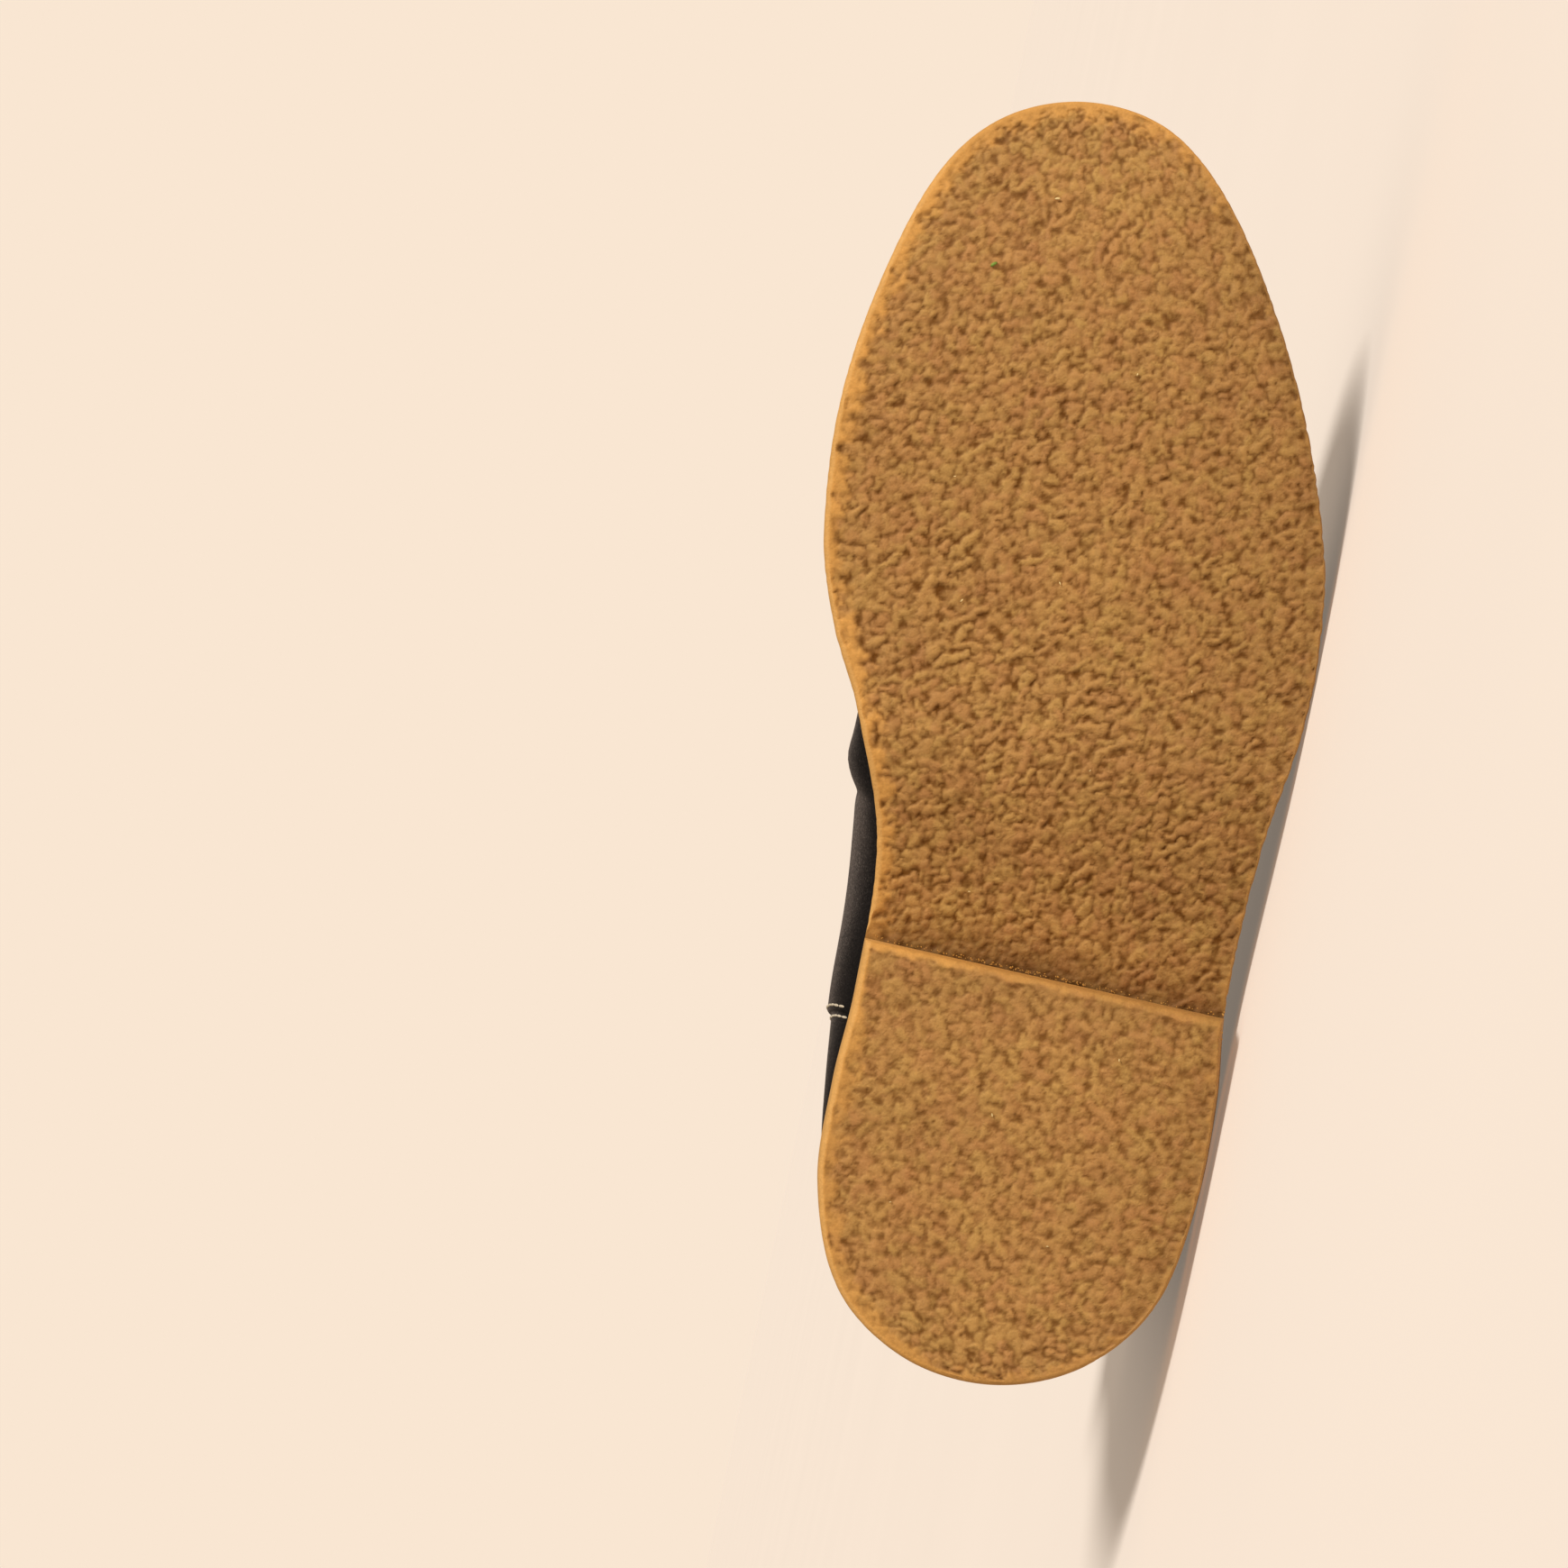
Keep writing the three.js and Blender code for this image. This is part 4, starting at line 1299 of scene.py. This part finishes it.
@dataclass
class Crumbs:
    """Bits of rubber left along the heel's breast and its outer end, pale specks on the crepe that are
    painted glints, and a green speck in it.
    """

    axes: BootAxes
    form: SoleForm
    count: int = 190
    seed: int = 5
    # Place along the breast round which half of the crumbs lie, and their spread
    gathered: Pair = (0.42, 0.16)
    # Least and most half length, depth below the outsole's tread, and distance ahead of the breast
    sizes: Pair = (0.1, 0.27)
    depths: Pair = (0.2, 1.1)
    ahead: Pair = (0.3, 1.1)
    # Length over thickness
    crumb_slender: float = 1.3
    burr_slender: float = 1.7
    speck_slender: float = 2.4
    rubber: Triple = (214, 158, 74)
    # Colour of the pale specks, painted glints on the crepe
    amber: Triple = (240, 214, 150)
    moss: Triple = (126, 156, 58)
    # Painted glints: along and across coordinates and half length of each
    glints: tuple[Triple, ...] = (
        (270.7, -2.1, 0.8), (231, 18, 0.45), (206, -22, 0.4), (183, 3, 0.5), (178, -19, 0.55),
        (160, 34, 0.4), (141, 12, 0.35), (112, -14, 0.4), (76, 22, 0.4), (62, -6, 0.5),
        (41, -28, 0.35), (33, 8, 0.4),
    )
    green: Triple = (254.8, -15.8, 1.25)
    # Along and across from the breast's outer end, height and half length
    burrs: tuple[tuple[float, float, float, float], ...] = (
        (0.9, 0.4, 11.2, 0.5), (1.5, 0.7, 11.6, 0.3), (-2.6, 0.0, 2.2, 0.45), (-4.2, 0.1, 2.6, 0.3),
    )

    def build(self) -> None:
        """Makes the crumbs, the pale specks that are painted glints, and the green one."""
        self.draw = np.random.default_rng(self.seed)
        glints = [self._on_tread(*spot) for spot in self.glints]
        self._piece(self._along_breast(), rubber_bits("crumbs", self.rubber))
        self._piece(glints, rubber_bits("glints", self.amber, 0.3))
        self._piece([self._on_tread(*self.green)], rubber_bits("green_speck", self.moss))

    def _breast_line(self, share: float) -> Array:
        """Point of the heel's breast, from its inner end at 0 to its outer end at 1."""
        angle = self.form.angle_at(np.array([self.form.breast]))
        inner, outer = (self.form.edge(side, angle, self.form.heel_taper)[0] for side in Side)
        return inner * (1 - share) + outer * share

    def _along_breast(self) -> list[tuple[Array, float, float]]:
        """Crumbs in the corner before the breast, thickest in its middle, and burrs at its outer end.

        Returns:
            Centre in boot millimetres, half length, and length over thickness of each.
        """
        found, draw = [], self.draw
        for _ in range(self.count):
            share = draw.choice([draw.normal(*self.gathered), draw.uniform(0.02, 0.98)])
            along, across = self._breast_line(float(np.clip(share, 0.02, 0.99)))
            half = draw.uniform(*self.sizes)
            up = self.form.heel_height - draw.uniform(*self.depths)
            centre = np.array([along + draw.uniform(*self.ahead), across, up])
            found.append((centre, half, self.crumb_slender))
        end = self._breast_line(1.0)
        for along, across, up, half in self.burrs:
            found.append((np.array([end[0] + along, end[1] + across, up]), half, self.burr_slender))
        return found

    def _on_tread(self, along: float, across: float, half: float) -> tuple[Array, float, float]:
        """A flat speck that lies on the crepe's lumps."""
        share = along / self.form.length
        up = self.form.tread(share) if share > self.form.breast else 0
        return np.array([along, across, up + 0.05]), half, self.speck_slender

    def _piece(self, bits: list[tuple[Array, float, float]], finish: GrainedFinish) -> None:
        """Makes one piece of crumbs, each a ball drawn out one way and roughened.

        Args:
            bits: Centre in boot millimetres, half length, and length over thickness of each crumb.
            finish: Finish of the piece, which gives the piece its name.
        """
        bpy.ops.object.select_all(action="DESELECT")
        bpy.ops.mesh.primitive_ico_sphere_add(subdivisions=1, radius=1)
        ball = bpy.context.active_object
        shape = vertices(ball)
        faces = np.array([tuple(face.vertices) for face in ball.data.polygons])
        bpy.data.objects.remove(ball)
        points, cells = [], []
        for centre, half, slender in bits:
            turn = self.draw.uniform(0, math.pi)
            sizes = (half, half / slender, half / slender)
            rough = shape * self.draw.uniform(0.75, 1.0, (len(shape), 1)) * sizes
            x, y, z = rough.T
            turned = [x * math.cos(turn) - y * math.sin(turn), x * math.sin(turn) + y * math.cos(turn)]
            cells.extend((faces + len(points)).tolist())
            points.extend(centre + np.stack([*turned, np.maximum(z, -0.03 - centre[2])], axis=1))
        piece = mesh_piece(finish.name, self.axes.to_row(np.array(points)), cells)
        finish_piece(piece, finish.material(), Slot.CREPE, angle=60)


# ---- upper


@dataclass(frozen=True)
class Fold:
    """A soft trough or ridge of the suede, as it shows from the side.

    The line is along and up coordinates in boot millimetres, the height is negative for a trough, and
    width is how far from its line the fold has faded to a third.
    """

    line: tuple[Pair, ...]
    height: float
    width: float
    side: Side | None = None
    # Width of the middle of the boot over which a fold of one side ends
    middle: float = 16

    def lift(self, boot: Array) -> Array:
        """How far each point is raised.

        Args:
            boot: Points in boot millimetres.

        Returns:
            Millimetres, one for each point.
        """
        best = np.full(len(boot), 1e9)
        place = boot[:, [0, 2]]
        whole = np.array(self.line, float)
        for a, b in zip(whole[:-1], whole[1:]):
            run = b - a
            t = np.clip(((place - a) @ run) / (run @ run), 0, 1)
            best = np.minimum(best, np.linalg.norm(place - a - t[:, None] * run, axis=1))
        lifted = self.height * np.exp(-((best / self.width) ** 2))
        if self.side is not None:
            lifted *= ease(0.5 + self.side.value * boot[:, 1] / self.middle)
        return lifted


@dataclass
class Upper:
    """The suede upper with its lining, folds, side seams and gussets."""

    axes: BootAxes
    form: SoleForm
    folds: tuple[Fold, ...] = (
        Fold(((131, 20), (133.5, 40), (139, 56)), -0.75, 2.2, Side.INNER),
        Fold(((140.5, 20), (142, 46), (148, 60)), 2.0, 6.0, Side.INNER),
        Fold(((157, 8), (161, 46)), -2.6, 7.0, Side.INNER),
        Fold(((170, 6), (174, 40)), -1.8, 9.0, Side.INNER),
        Fold(((136, 24), (139, 48), (136, 70)), -0.9, 3.2, Side.OUTER),
        Fold(((118, 40), (121, 62)), -0.6, 3.0, Side.OUTER),
        Fold(((118, 118), (126, 98), (118, 84)), -1.0, 4.5),
        Fold(((122, 106), (136, 88), (130, 72)), -1.3, 4.0),
        Fold(((150, 84), (166, 66), (176, 50)), -0.7, 4.5),
        Fold(((176, 72), (186, 56), (188, 42)), -0.8, 4.0),
        Fold(((194, 62), (204, 50), (202, 38)), -0.7, 3.6),
    )
    # Height above the sole over which folds grow, and where the shade near the sole starts and ends
    rooted: float = 6
    shade: float = 0.96
    shade_start: float = 3
    sole_shade: float = 22
    rib_pitch: float = 1.7
    rib_depth: float = 0.28
    # The inner seam's shift to the rear, how far it fades along the boot, and where up the wall it ends
    seam_shift: float = 0.8
    seam_at: Pair = (82, 26)
    seam_top: Pair = (52, 64)
    # Line inside the boot from which outwards is told: its ends, its across and up coordinates by the
    # along ones, and how much of a height above it counts
    spine_ends: Pair = (60, 262)
    spine_across: tuple[tuple[float, ...], ...] = ((0, 100, 150, 292), (0.5, 4, 6, 3))
    spine_up: tuple[tuple[float, ...], ...] = ((0, 110, 150, 200, 250, 292), (70, 70, 42, 34, 38, 38))
    spine_level: tuple[tuple[float, ...], ...] = ((0, 110, 150), (0, 0, 1))
    lining: Triple = (176, 148, 112)
    footbed: Triple = (150, 118, 84)

    def build(self) -> Piece:
        """Builds the upper, the gussets and the footbed.

        Returns:
            The suede piece, which the stitches lie on.
        """
        suede = self._suede()
        elastic = ElasticFinish().material()
        for side in Side:
            self._gusset(side, elastic)
        piece = copy_node("insole", "insole_footbed")
        soften(piece, 2, 0.9)
        finish_piece(piece, leather(self.footbed).material(), Slot.FOOTBED, "insole", angle=35)
        return suede

    def _suede(self) -> Piece:
        """Builds the suede shell from its CAD cage, with the lining on its inside.

        Returns:
            The piece.
        """
        piece = copy_node("upper", "upper_suede")
        self._shift_seam(piece)
        soften(piece, 2, 0.7)
        points, normals = vertices(piece), vertex_normals(piece)
        boot = self.axes.to_boot(points)
        outwards = np.where(self._faces_in(points, normals), -1.0, 1.0)
        above = boot[:, 2] - self.form.tread(boot[:, 0] / self.form.length) - self.form.thickness
        lift = sum(fold.lift(boot) for fold in self.folds) * ease(above / self.rooted)
        points = points + normals * (lift * outwards * MM)[:, None]
        points[:, 2] = np.maximum(points[:, 2], 0)
        set_vertices(piece, points)
        shaded = 1 - ease((above - self.shade_start) / self.sole_shade)
        store(piece, "shade", self.shade * shaded)
        self._line(piece)
        return finish_piece(piece, None, Slot.SUEDE, "upper", angle=50)

    def _shift_seam(self, piece: Piece) -> None:
        """Moves the foot of the inner seam to the rear, where the photograph has it.

        Args:
            piece: The upper's cage.
        """
        boot = self.axes.to_boot(vertices(piece))
        start, end = self.seam_top
        near = np.clip(1 - abs(boot[:, 0] - self.seam_at[0]) / self.seam_at[1], 0, 1)
        below = 1 - ease((boot[:, 2] - start) / (end - start))
        boot[:, 0] -= self.seam_shift * ease(near) * below * (boot[:, 1] < 0)
        set_vertices(piece, self.axes.to_row(boot))

    def _faces_in(self, points: Array, normals: Array) -> Array:
        """Whether points of the wall are on its inside.

        Args:
            points: Row metres.
            normals: Their normals in the row frame.

        Returns:
            One truth value for each point.
        """
        boot = self.axes.to_boot(points)
        along = boot[:, 0]
        tables = (self.spine_across, self.spine_up)
        spine = [np.clip(along, *self.spine_ends), *(np.interp(along, *table) for table in tables)]
        outwards = boot - np.stack(spine, axis=1)
        outwards[:, 2] *= np.interp(along, *self.spine_level)
        return (outwards * self.axes.turn_back(normals)).sum(axis=1) < 0

    def _line(self, piece: Piece) -> None:
        """Gives the faces inside the wall the lining, and the others the suede.

        Args:
            piece: The upper.
        """
        piece.data.materials.clear()
        for finish in (SuedeFinish(), leather(self.lining)):
            piece.data.materials.append(finish.material())
        faces = piece.data.polygons
        inside = self._faces_in(vectors(faces, "center"), vectors(faces, "normal"))
        faces.foreach_set("material_index", inside.astype(np.int32))

    def _gusset(self, side: Side, material: Material) -> None:
        """Builds one gusset, with ribs that run up it.

        Args:
            side: Side of the boot.
            material: The elastic's finish.
        """
        node = "gusset_" + side.name.lower()
        piece = copy_node(node, node + "_ribbed")
        soften(piece, 4, 1.0)
        points, normals = vertices(piece), vertex_normals(piece)
        along = self.axes.to_boot(points)[:, 0]
        rib = 0.5 - 0.5 * np.cos(2 * math.pi * along / self.rib_pitch)
        set_vertices(piece, points - normals * ((1 - rib) * self.rib_depth * MM)[:, None])
        store(piece, "rib", rib)
        finish_piece(piece, material, Slot.ELASTIC, node, angle=60)


# A place on the suede in boot millimetres, with the way out there in boot axes
Place = tuple[Array, Array]


@dataclass
class Stitches:
    """Cream stitches up the side seams, round the gussets and along the collar, in millimetres."""

    axes: BootAxes
    suede: Piece
    thread: GrainedFinish = GrainedFinish("thread", (226, 212, 186), (1, 0.82), 3200, 0.6)
    dash: float = 3.1
    gap: float = 0.6
    radius: float = 0.32
    flatness: float = 0.8
    sink: float = 0.06
    ahead_of_lap: float = 1.2
    behind_lap: float = 1.3
    seam_start: float = 27
    lap_reach: float = 14
    lap_step: float = 0.25
    beside_gusset: float = 2.2
    gusset_turn: float = math.pi / 2 + 0.9
    below_collar: float = 2.6
    collar_height: float = 122
    wedge: float = 3
    # How far out rays from the side start, how far they reach, and both of these for the collar
    side_start: float = 90
    side_reach: float = 75
    collar_reach: float = 110
    step: float = 1.0
    sides: int = 8
    rings: int = 7

    def build(self) -> None:
        """Sews every row, as one piece for each side and one for the collar."""
        self.surface = BVHTree.FromObject(self.suede, bpy.context.evaluated_depsgraph_get())
        material = self.thread.material()
        for side in Side:
            gusset = self.axes.gusset(side)
            rows = [self._round_gusset(gusset, side), *self._beside_lap(gusset, side)]
            self._sew("stitches_" + side.name.lower(), rows, material)
        self._sew("stitches_collar", self._along_collar(), material)

    def _hit(self, start: Array, way: Array, reach: float) -> Place | None:
        """Where a ray first meets the suede.

        Args:
            start: Where it starts, in boot millimetres.
            way: Its direction, in boot axes.
            reach: Its length, in millimetres.

        Returns:
            The place, or None where it misses.
        """
        ray = Vector(self.axes.to_row(start)), Vector(self.axes.turn(way))
        place, normal, _, _ = self.surface.ray_cast(*ray, reach * MM)
        if place is None:
            return None
        out = self.axes.turn_back(np.array(normal))
        return self.axes.to_boot(np.array(place)), out * -np.sign(out @ way)

    def _wall(self, along: float, up: float, side: Side) -> Place | None:
        """Place on the wall's outside that shows at a point of the side view."""
        start = np.array([along, side.value * self.side_start, up])
        return self._hit(start, np.array([0, -float(side.value), 0]), self.side_reach)

    def _round_gusset(self, gusset: Array, side: Side) -> list[Place]:
        """Finds places along the opening's edge, down one side, round its foot and up the other.

        Args:
            gusset: Vertices of the gusset.
            side: Side of the boot.

        Returns:
            The places.
        """
        flat = gusset[:, [0, 2]]
        turns = np.linspace(-self.gusset_turn, self.gusset_turn, 240) - math.pi / 2
        ways = np.stack([np.cos(turns), np.sin(turns)], axis=1)
        reaches = (flat @ ways.T).max(axis=0) + self.beside_gusset
        pairs = [slice(k, k + 2) for k in range(len(turns) - 1)]
        corners = np.array([np.linalg.solve(ways[pair], reaches[pair]) for pair in pairs])
        run = run_of(corners)
        line = read_line(np.arange(0, run[-1], self.step), run, corners)
        shown = line[line[:, 1] < flat[:, 1].max() - self.below_collar]
        found = [self._wall(along, up, side) for along, up in shown]
        return [place for place in found if place is not None]

    def _beside_lap(self, gusset: Array, side: Side) -> list[list[Place]]:
        """Finds places ahead of the lap's edge and behind it, from the sole to the gusset.

        Args:
            gusset: Vertices of the gusset.
            side: Side of the boot.

        Returns:
            The places of both rows.
        """
        foot = gusset[gusset[:, 2].argmin()]
        near = np.arange(foot[0] - self.lap_reach, foot[0] + self.lap_reach, self.lap_step)
        rows = [[], []]
        for up in np.arange(self.seam_start, foot[2] - self.beside_gusset - 1, self.step):
            found = [self._wall(along, up, side) for along in near]
            across = np.array([abs(place[0][1]) if place else 0 for place in found])
            rise = across[4:] - across[:-4]
            lap = near[(rise - np.median(rise)).argmax() + 2]
            for row, shift in zip(rows, (self.ahead_of_lap, -self.behind_lap)):
                row.append(self._wall(lap + shift, up, side))
        return [[place for place in row if place is not None] for row in rows]

    def _along_collar(self) -> list[list[Place]]:
        """Finds places along the collar, ahead of the gussets and behind them.

        Returns:
            The places of each row.
        """
        middle = np.mean([self.axes.gusset(side).mean(axis=0)[:2] for side in Side], axis=0)
        boot = self.axes.to_boot(vertices(self.suede))
        from_middle = boot[:, :2] - middle
        rows = [[]]
        for turn in np.linspace(0, 2 * math.pi, 361):
            way = np.array([math.cos(turn), math.sin(turn), 0])
            aside = from_middle @ np.array([-way[1], way[0]])
            shown = (abs(aside) < self.wedge) & (from_middle @ way[:2] > 0)
            top = boot[shown, 2].max() if shown.any() else 0
            outside = middle + self.collar_reach * way[:2]
            start = np.array([*outside, top - self.below_collar])
            place = self._hit(start, -way, self.collar_reach)
            if place is not None and top >= self.collar_height:
                rows[-1].append(place)
            elif rows[-1]:
                rows.append([])
        return [row for row in rows if len(row) > 3]

    def _sew(self, name: str, rows: list[list[Place]], material: Material) -> None:
        """Makes one piece of the stitches along some rows.

        Args:
            name: Name of the piece.
            rows: Places along each row.
            material: The thread's finish.
        """
        points, faces = [], []
        for row in rows:
            places, outs = (np.array(values) for values in zip(*row))
            run = run_of(places)
            start = 0.0
            while start + self.dash < run[-1]:
                ends = read_line(start + self.dash * np.array([0, 1]), run, places)
                out = read_line(start + self.dash / 2, run, outs)
                self._stitch(points, faces, ends, out)
                start += self.dash + self.gap
        placed = self.axes.to_row(np.array(points))
        placed[:, 2] = np.maximum(placed[:, 2], 0)
        piece = mesh_piece(name, placed, faces)
        weld(piece, 1e-7)
        finish_piece(piece, material, Slot.SUEDE, angle=80)

    def _stitch(self, points: list, faces: list, ends: Array, out: Array) -> None:
        """Adds one stitch: a short thread that dips into the suede at both ends.

        Args:
            points: Points of the piece, which the stitch's are added to.
            faces: Faces of the piece, likewise.
            ends: Both ends of the stitch.
            out: The way out of the suede.
        """
        ahead = unit(ends[1] - ends[0])
        out = unit(out - (out @ ahead) * ahead)
        t = np.linspace(0, 1, self.rings)[:, None]
        fat = np.sqrt(np.clip(1 - abs(2 * t - 1) ** 3.5, 0, 1))
        fat[[0, -1]] = 0.25
        centres = ends[0] + (ends[1] - ends[0]) * t + out * (self.radius * (fat - 0.75) + self.sink)
        turns = 2 * math.pi * np.arange(self.sides)[:, None] / self.sides
        around = np.cos(turns) * np.cross(ahead, out) + self.flatness * np.sin(turns) * out
        base = len(points)
        points.extend((centres[:, None] + self.radius * fat[:, None] * around).reshape(-1, 3))
        ring = range(self.sides)
        for low in range(base, len(points) - self.sides, self.sides):
            pairs = [(low + j, low + (j + 1) % self.sides) for j in ring]
            faces.extend((a, b, b + self.sides, a + self.sides) for a, b in pairs)
        faces.append(tuple(base + j for j in reversed(ring)))
        faces.append(tuple(len(points) - self.sides + j for j in ring))


# ---- stage


@dataclass(frozen=True)
class View:
    """The photograph's view: where the camera stands in boot millimetres, and its lens."""

    stand: Triple = (139.55, 2.9, -1000)
    roll: float = 3.0
    aside: float = -0.06015
    above: float = -0.00204
    lens: float = 101.3

    def build(self, axes: BootAxes) -> None:
        """Adds the camera.

        Args:
            axes: The boot's axes.
        """
        turn = math.radians(self.roll)
        right = np.array([math.sin(turn), math.cos(turn), 0])
        up = np.array([math.cos(turn), -math.sin(turn), 0])
        back = -unit(np.array([0, 0, 1]) + self.aside * right + self.above * up)
        right = unit(np.cross(up, back))
        turned = axes.turn(np.array([right, np.cross(back, right), back]))
        place = Matrix(turned.T.tolist()).to_4x4()
        place.translation = axes.to_row(np.array(self.stand, float))
        camera = add("camera", bpy.data.cameras.new("camera"))
        camera.data.lens = self.lens
        camera.data.sensor_width = 36
        camera.data.clip_start, camera.data.clip_end = 0.01, 50
        camera.matrix_world = place
        bpy.context.scene.camera = camera


@dataclass(frozen=True)
class Studio:
    """Plain pale floor that glows faintly, painted light that lightens the shadows under the boot, and
    soft light.
    """

    floor_size: float = 60
    floor: Triple = (230, 221, 212)
    # Painted light: the floor's faint glow and its colour lighten the shadows under the boot
    floor_glow: float = 0.2
    glow: Triple = (253, 234, 214)
    backdrop: Triple = (249, 230, 210)
    fill: float = 0.36
    key: float = 2.95
    key_tint: Triple = (255, 250, 244)
    key_softness: float = 16
    # From over the toe and before the sole
    key_from: Triple = (0.5, -0.55, 0.67)

    def build(self) -> None:
        """Adds the floor, the world and the light."""
        self._floor()
        self._world()
        self._key()
        bpy.context.scene.view_settings.view_transform = "Standard"

    def _floor(self) -> None:
        """Adds the floor at the boot's lowest point, glowing faintly as painted light that lightens the
        shadows under the boot.
        """
        bpy.ops.object.select_all(action="DESELECT")
        bpy.ops.mesh.primitive_plane_add(size=self.floor_size, location=(0, 0, 0))
        floor = bpy.context.active_object
        floor.name = "floor"
        shader = Shader("paper")
        darker = rgba(*(0.99 * c for c in self.floor))
        links = {"Base Color": shader.mix(shader.grain(3, 2), rgba(*self.floor), darker)}
        floor.data.materials.append(shader.dress(
            links, Roughness=0.9, Specular_IOR_Level=0.1,
            Emission_Color=rgba(*self.glow), Emission_Strength=self.floor_glow,
        ))

    def _world(self) -> None:
        """Shows the backdrop's colour, and fills with it more dimly."""
        world = bpy.data.worlds.new("studio")
        bpy.context.scene.world = world
        world.use_nodes = True
        tree = world.node_tree
        tree.nodes.clear()
        kinds = ("OutputWorld", "MixShader", "LightPath")
        output, mixed, path = (tree.nodes.new("ShaderNode" + kind) for kind in kinds)
        for k, strength in ((1, self.fill), (2, 1.0)):
            background = tree.nodes.new("ShaderNodeBackground")
            background.inputs["Color"].default_value = rgba(*self.backdrop)
            background.inputs["Strength"].default_value = strength
            tree.links.new(background.outputs[0], mixed.inputs[k])
        tree.links.new(path.outputs["Is Camera Ray"], mixed.inputs[0])
        tree.links.new(mixed.outputs[0], output.inputs[0])

    def _key(self) -> None:
        """Adds the soft light."""
        light = add("key", bpy.data.lights.new("key", "SUN"))
        light.data.energy = self.key
        light.data.angle = math.radians(self.key_softness)
        light.data.color = rgba(*self.key_tint)[:3]
        light.rotation_euler = Vector(self.key_from).to_track_quat("Z", "Y").to_euler()


def main() -> None:
    """Builds the camera, the boot and its studio."""
    logging.basicConfig(level=logging.INFO, format="%(message)s")
    form = SoleForm()
    axes = BootAxes.from_frame(form.outline[0][1] * form.ball_width)
    View().build(axes)
    CrepeSole(axes, form, CrepeRelief(form)).build()
    Crumbs(axes, form).build()
    suede = Upper(axes, form).build()
    Stitches(axes, suede).build()
    Studio().build()


if __name__ == "__main__":
    main()
